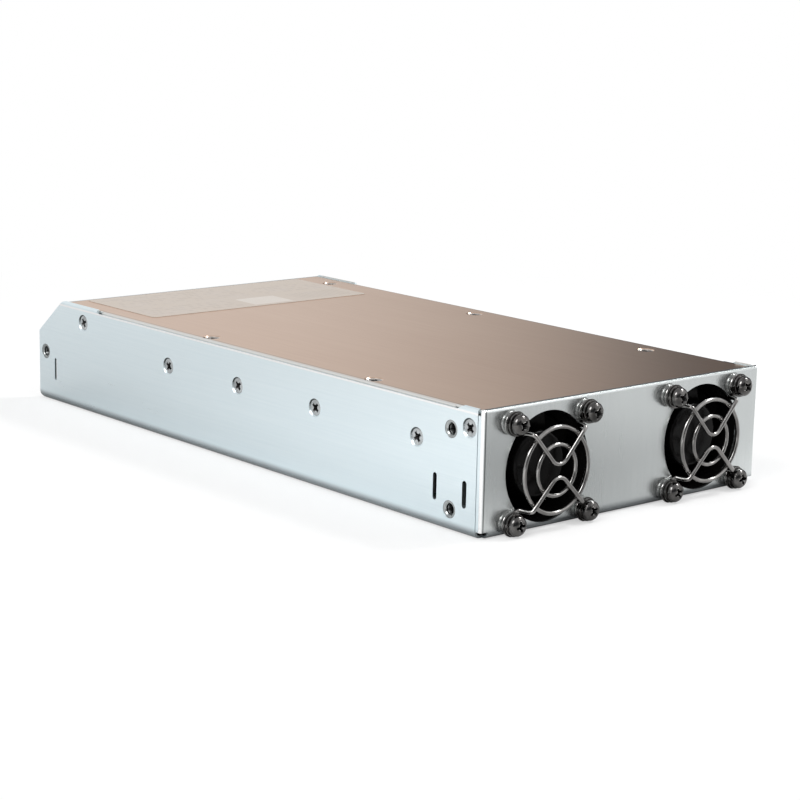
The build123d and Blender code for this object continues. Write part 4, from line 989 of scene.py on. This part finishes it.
def makeFloor(settings):
    bpy.ops.mesh.primitive_plane_add(size=settings["floorSize"])
    floor = bpy.context.object
    floor.name = "paleFloor"
    finish = bpy.data.materials.new("paleFloor")
    finish.use_nodes = True
    tree = finish.node_tree
    tree.nodes.clear()
    where = tree.nodes.new("ShaderNodeTexCoord").outputs["Object"]
    x, y, _ = splitAxes(tree, where)
    pale = ramped(tree, calc(tree, "ABSOLUTE", x), settings["besideSpan"], settings["floorAlbedo"])
    alongside = ramped(tree, y, *settings["alongside"])
    behind = ramped(tree, y, *settings["behind"])
    front = ramped(tree, x, settings["frontSpan"], settings["floorFront"])
    front = allOf(tree, front, ramped(tree, y, *settings["nearPanel"]))
    dim = dimSide(tree, x, y, *settings["floorDim"])
    albedo = mixValues(tree, dim, allOf(tree, pale, alongside, behind), front)
    unseen = addNode(tree, "ShaderNodeBsdfDiffuse", {"Color": albedo})
    plain = addNode(tree, "ShaderNodeBsdfDiffuse", {"Color": settings["plainFloor"]})
    glow = addNode(tree, "ShaderNodeEmission", {"Color": (1, 1, 1, 1), "Strength": 1.0})
    far = flatReach(tree, x, y)
    amount = ramped(tree, far, settings["glowSpan"], settings["floorGlow"], smooth=True)
    share = addNode(tree, "ShaderNodeMixShader", {0: amount})
    tree.links.new(plain.outputs[0], share.inputs[1])
    tree.links.new(glow.outputs[0], share.inputs[2])
    path = addNode(tree, "ShaderNodeLightPath")
    seen = addNode(tree, "ShaderNodeMixShader", {0: path.outputs["Is Camera Ray"]})
    tree.links.new(unseen.outputs[0], seen.inputs[1])
    tree.links.new(share.outputs[0], seen.inputs[2])
    end = addNode(tree, "ShaderNodeOutputMaterial")
    tree.links.new(seen.outputs[0], end.inputs[0])
    floor.data.materials.append(finish)


def makeSky(settings):
    world = bpy.data.worlds.new("softRoom")
    bpy.context.scene.world = world
    world.use_nodes = True
    tree = world.node_tree
    tree.nodes.clear()
    way = addNode(tree, "ShaderNodeTexCoord").outputs["Generated"]
    x, y, z = splitAxes(tree, way)
    falling, rising = (1.0, 0.0), (0.0, 1.0)
    dim = dimSide(tree, x, y, *settings["skyDim"])
    dim = allOf(tree, dim, ramped(tree, z, settings["dimUpTo"], falling, smooth=True))
    overhead = ramped(tree, z, settings["highSpan"], rising, smooth=True)
    shine = blendColours(tree, overhead, settings["skyGloss"], settings["highGloss"])
    shine = blendColours(tree, dim, shine, settings["dimGloss"])
    aim = {0: way, 1: settings["paleWall"]}
    facing = addNode(tree, "ShaderNodeVectorMath", aim, operation="DOT_PRODUCT").outputs["Value"]
    patch = ramped(tree, facing, settings["paleSpan"], rising, smooth=True)
    shine = blendColours(tree, patch, shine, (1.0, 1.0, 1.0))
    bearing = calc(tree, "ARCTAN2", x, y)
    stops = settings["roomEnd"]
    first, last = math.radians(stops[0][0]), math.radians(stops[-1][0])
    ramp = addNode(tree, "ShaderNodeValToRGB", {"Fac": remap(tree, bearing, first, last, 0.0, 1.0)})
    for number, (angle, shade) in enumerate(stops):
        place = (math.radians(angle) - first) / (last - first)
        if number == 0:
            stop = ramp.color_ramp.elements[0]
        elif number == len(stops) - 1:
            stop = ramp.color_ramp.elements[-1]
        else:
            stop = ramp.color_ramp.elements.new(place)
        stop.position = place
        stop.color = (*shade, 1.0)
    inside = calc(tree, "GREATER_THAN", bearing, first)
    ends = [math.radians(angle) for angle in settings["roomEndGone"]]
    gone = ramped(tree, bearing, ends, falling, smooth=True)
    low = ramped(tree, z, settings["roomEndUpTo"], falling, smooth=True)
    amount = allOf(tree, inside, gone, low)
    shine = blendColours(tree, amount, shine, ramp.outputs["Color"])
    path = addNode(tree, "ShaderNodeLightPath").outputs
    plain = (settings["sky"],) * 3
    colour = blendColours(tree, path["Is Glossy Ray"], plain, shine)
    colour = blendColours(tree, path["Is Camera Ray"], colour, (1.0, 1.0, 1.0))
    sky = addNode(tree, "ShaderNodeBackground", {"Color": colour, "Strength": 1.0})
    end = addNode(tree, "ShaderNodeOutputWorld")
    tree.links.new(sky.outputs[0], end.inputs[0])


def hangLamps(settings):
    for name, place, aim, size, watts in settings["lamps"]:
        reach = [aim[i] - place[i] for i in range(3)]
        flat = math.hypot(reach[0], reach[1])
        tilt = math.atan2(flat, -reach[2])
        turn = math.atan2(reach[1], reach[0]) - math.pi / 2
        bpy.ops.object.light_add(type="AREA", location=place, rotation=(tilt, 0.0, turn))
        lamp = bpy.context.object
        lamp.name = name
        lamp.data.shape = "DISK"
        lamp.data.size = size
        lamp.data.energy = watts


bpy.context.scene.view_settings.view_transform = "Standard"
placeCamera(viewpoint)
makeFloor(studio)
makeSky(studio)
hangLamps(studio)
print("camera, floor, sky and lamps placed")

finishes = dressNodes()
print("finishes on", len(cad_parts), "nodes")

screwKinds = ((fanScrew, makeFanScrews), (wallScrew, makeWallScrews), (coverScrew, makeCoverScrews))
for settings, make in screwKinds:
    screws = make(settings)
    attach(screws, "enclosure")
    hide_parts(settings["node"])
for node in fingerGuard["nodes"]:
    guard = makeGuard(fingerGuard, node)
    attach(guard, "enclosure")
    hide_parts(node)
    guard.data.materials.append(finishes["wire"])
threads = makeThreads(insertThread)
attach(threads, "enclosure")
threads.data.materials.append(finishes[insertThread["slot"]])
print("screws, guards and threads made")
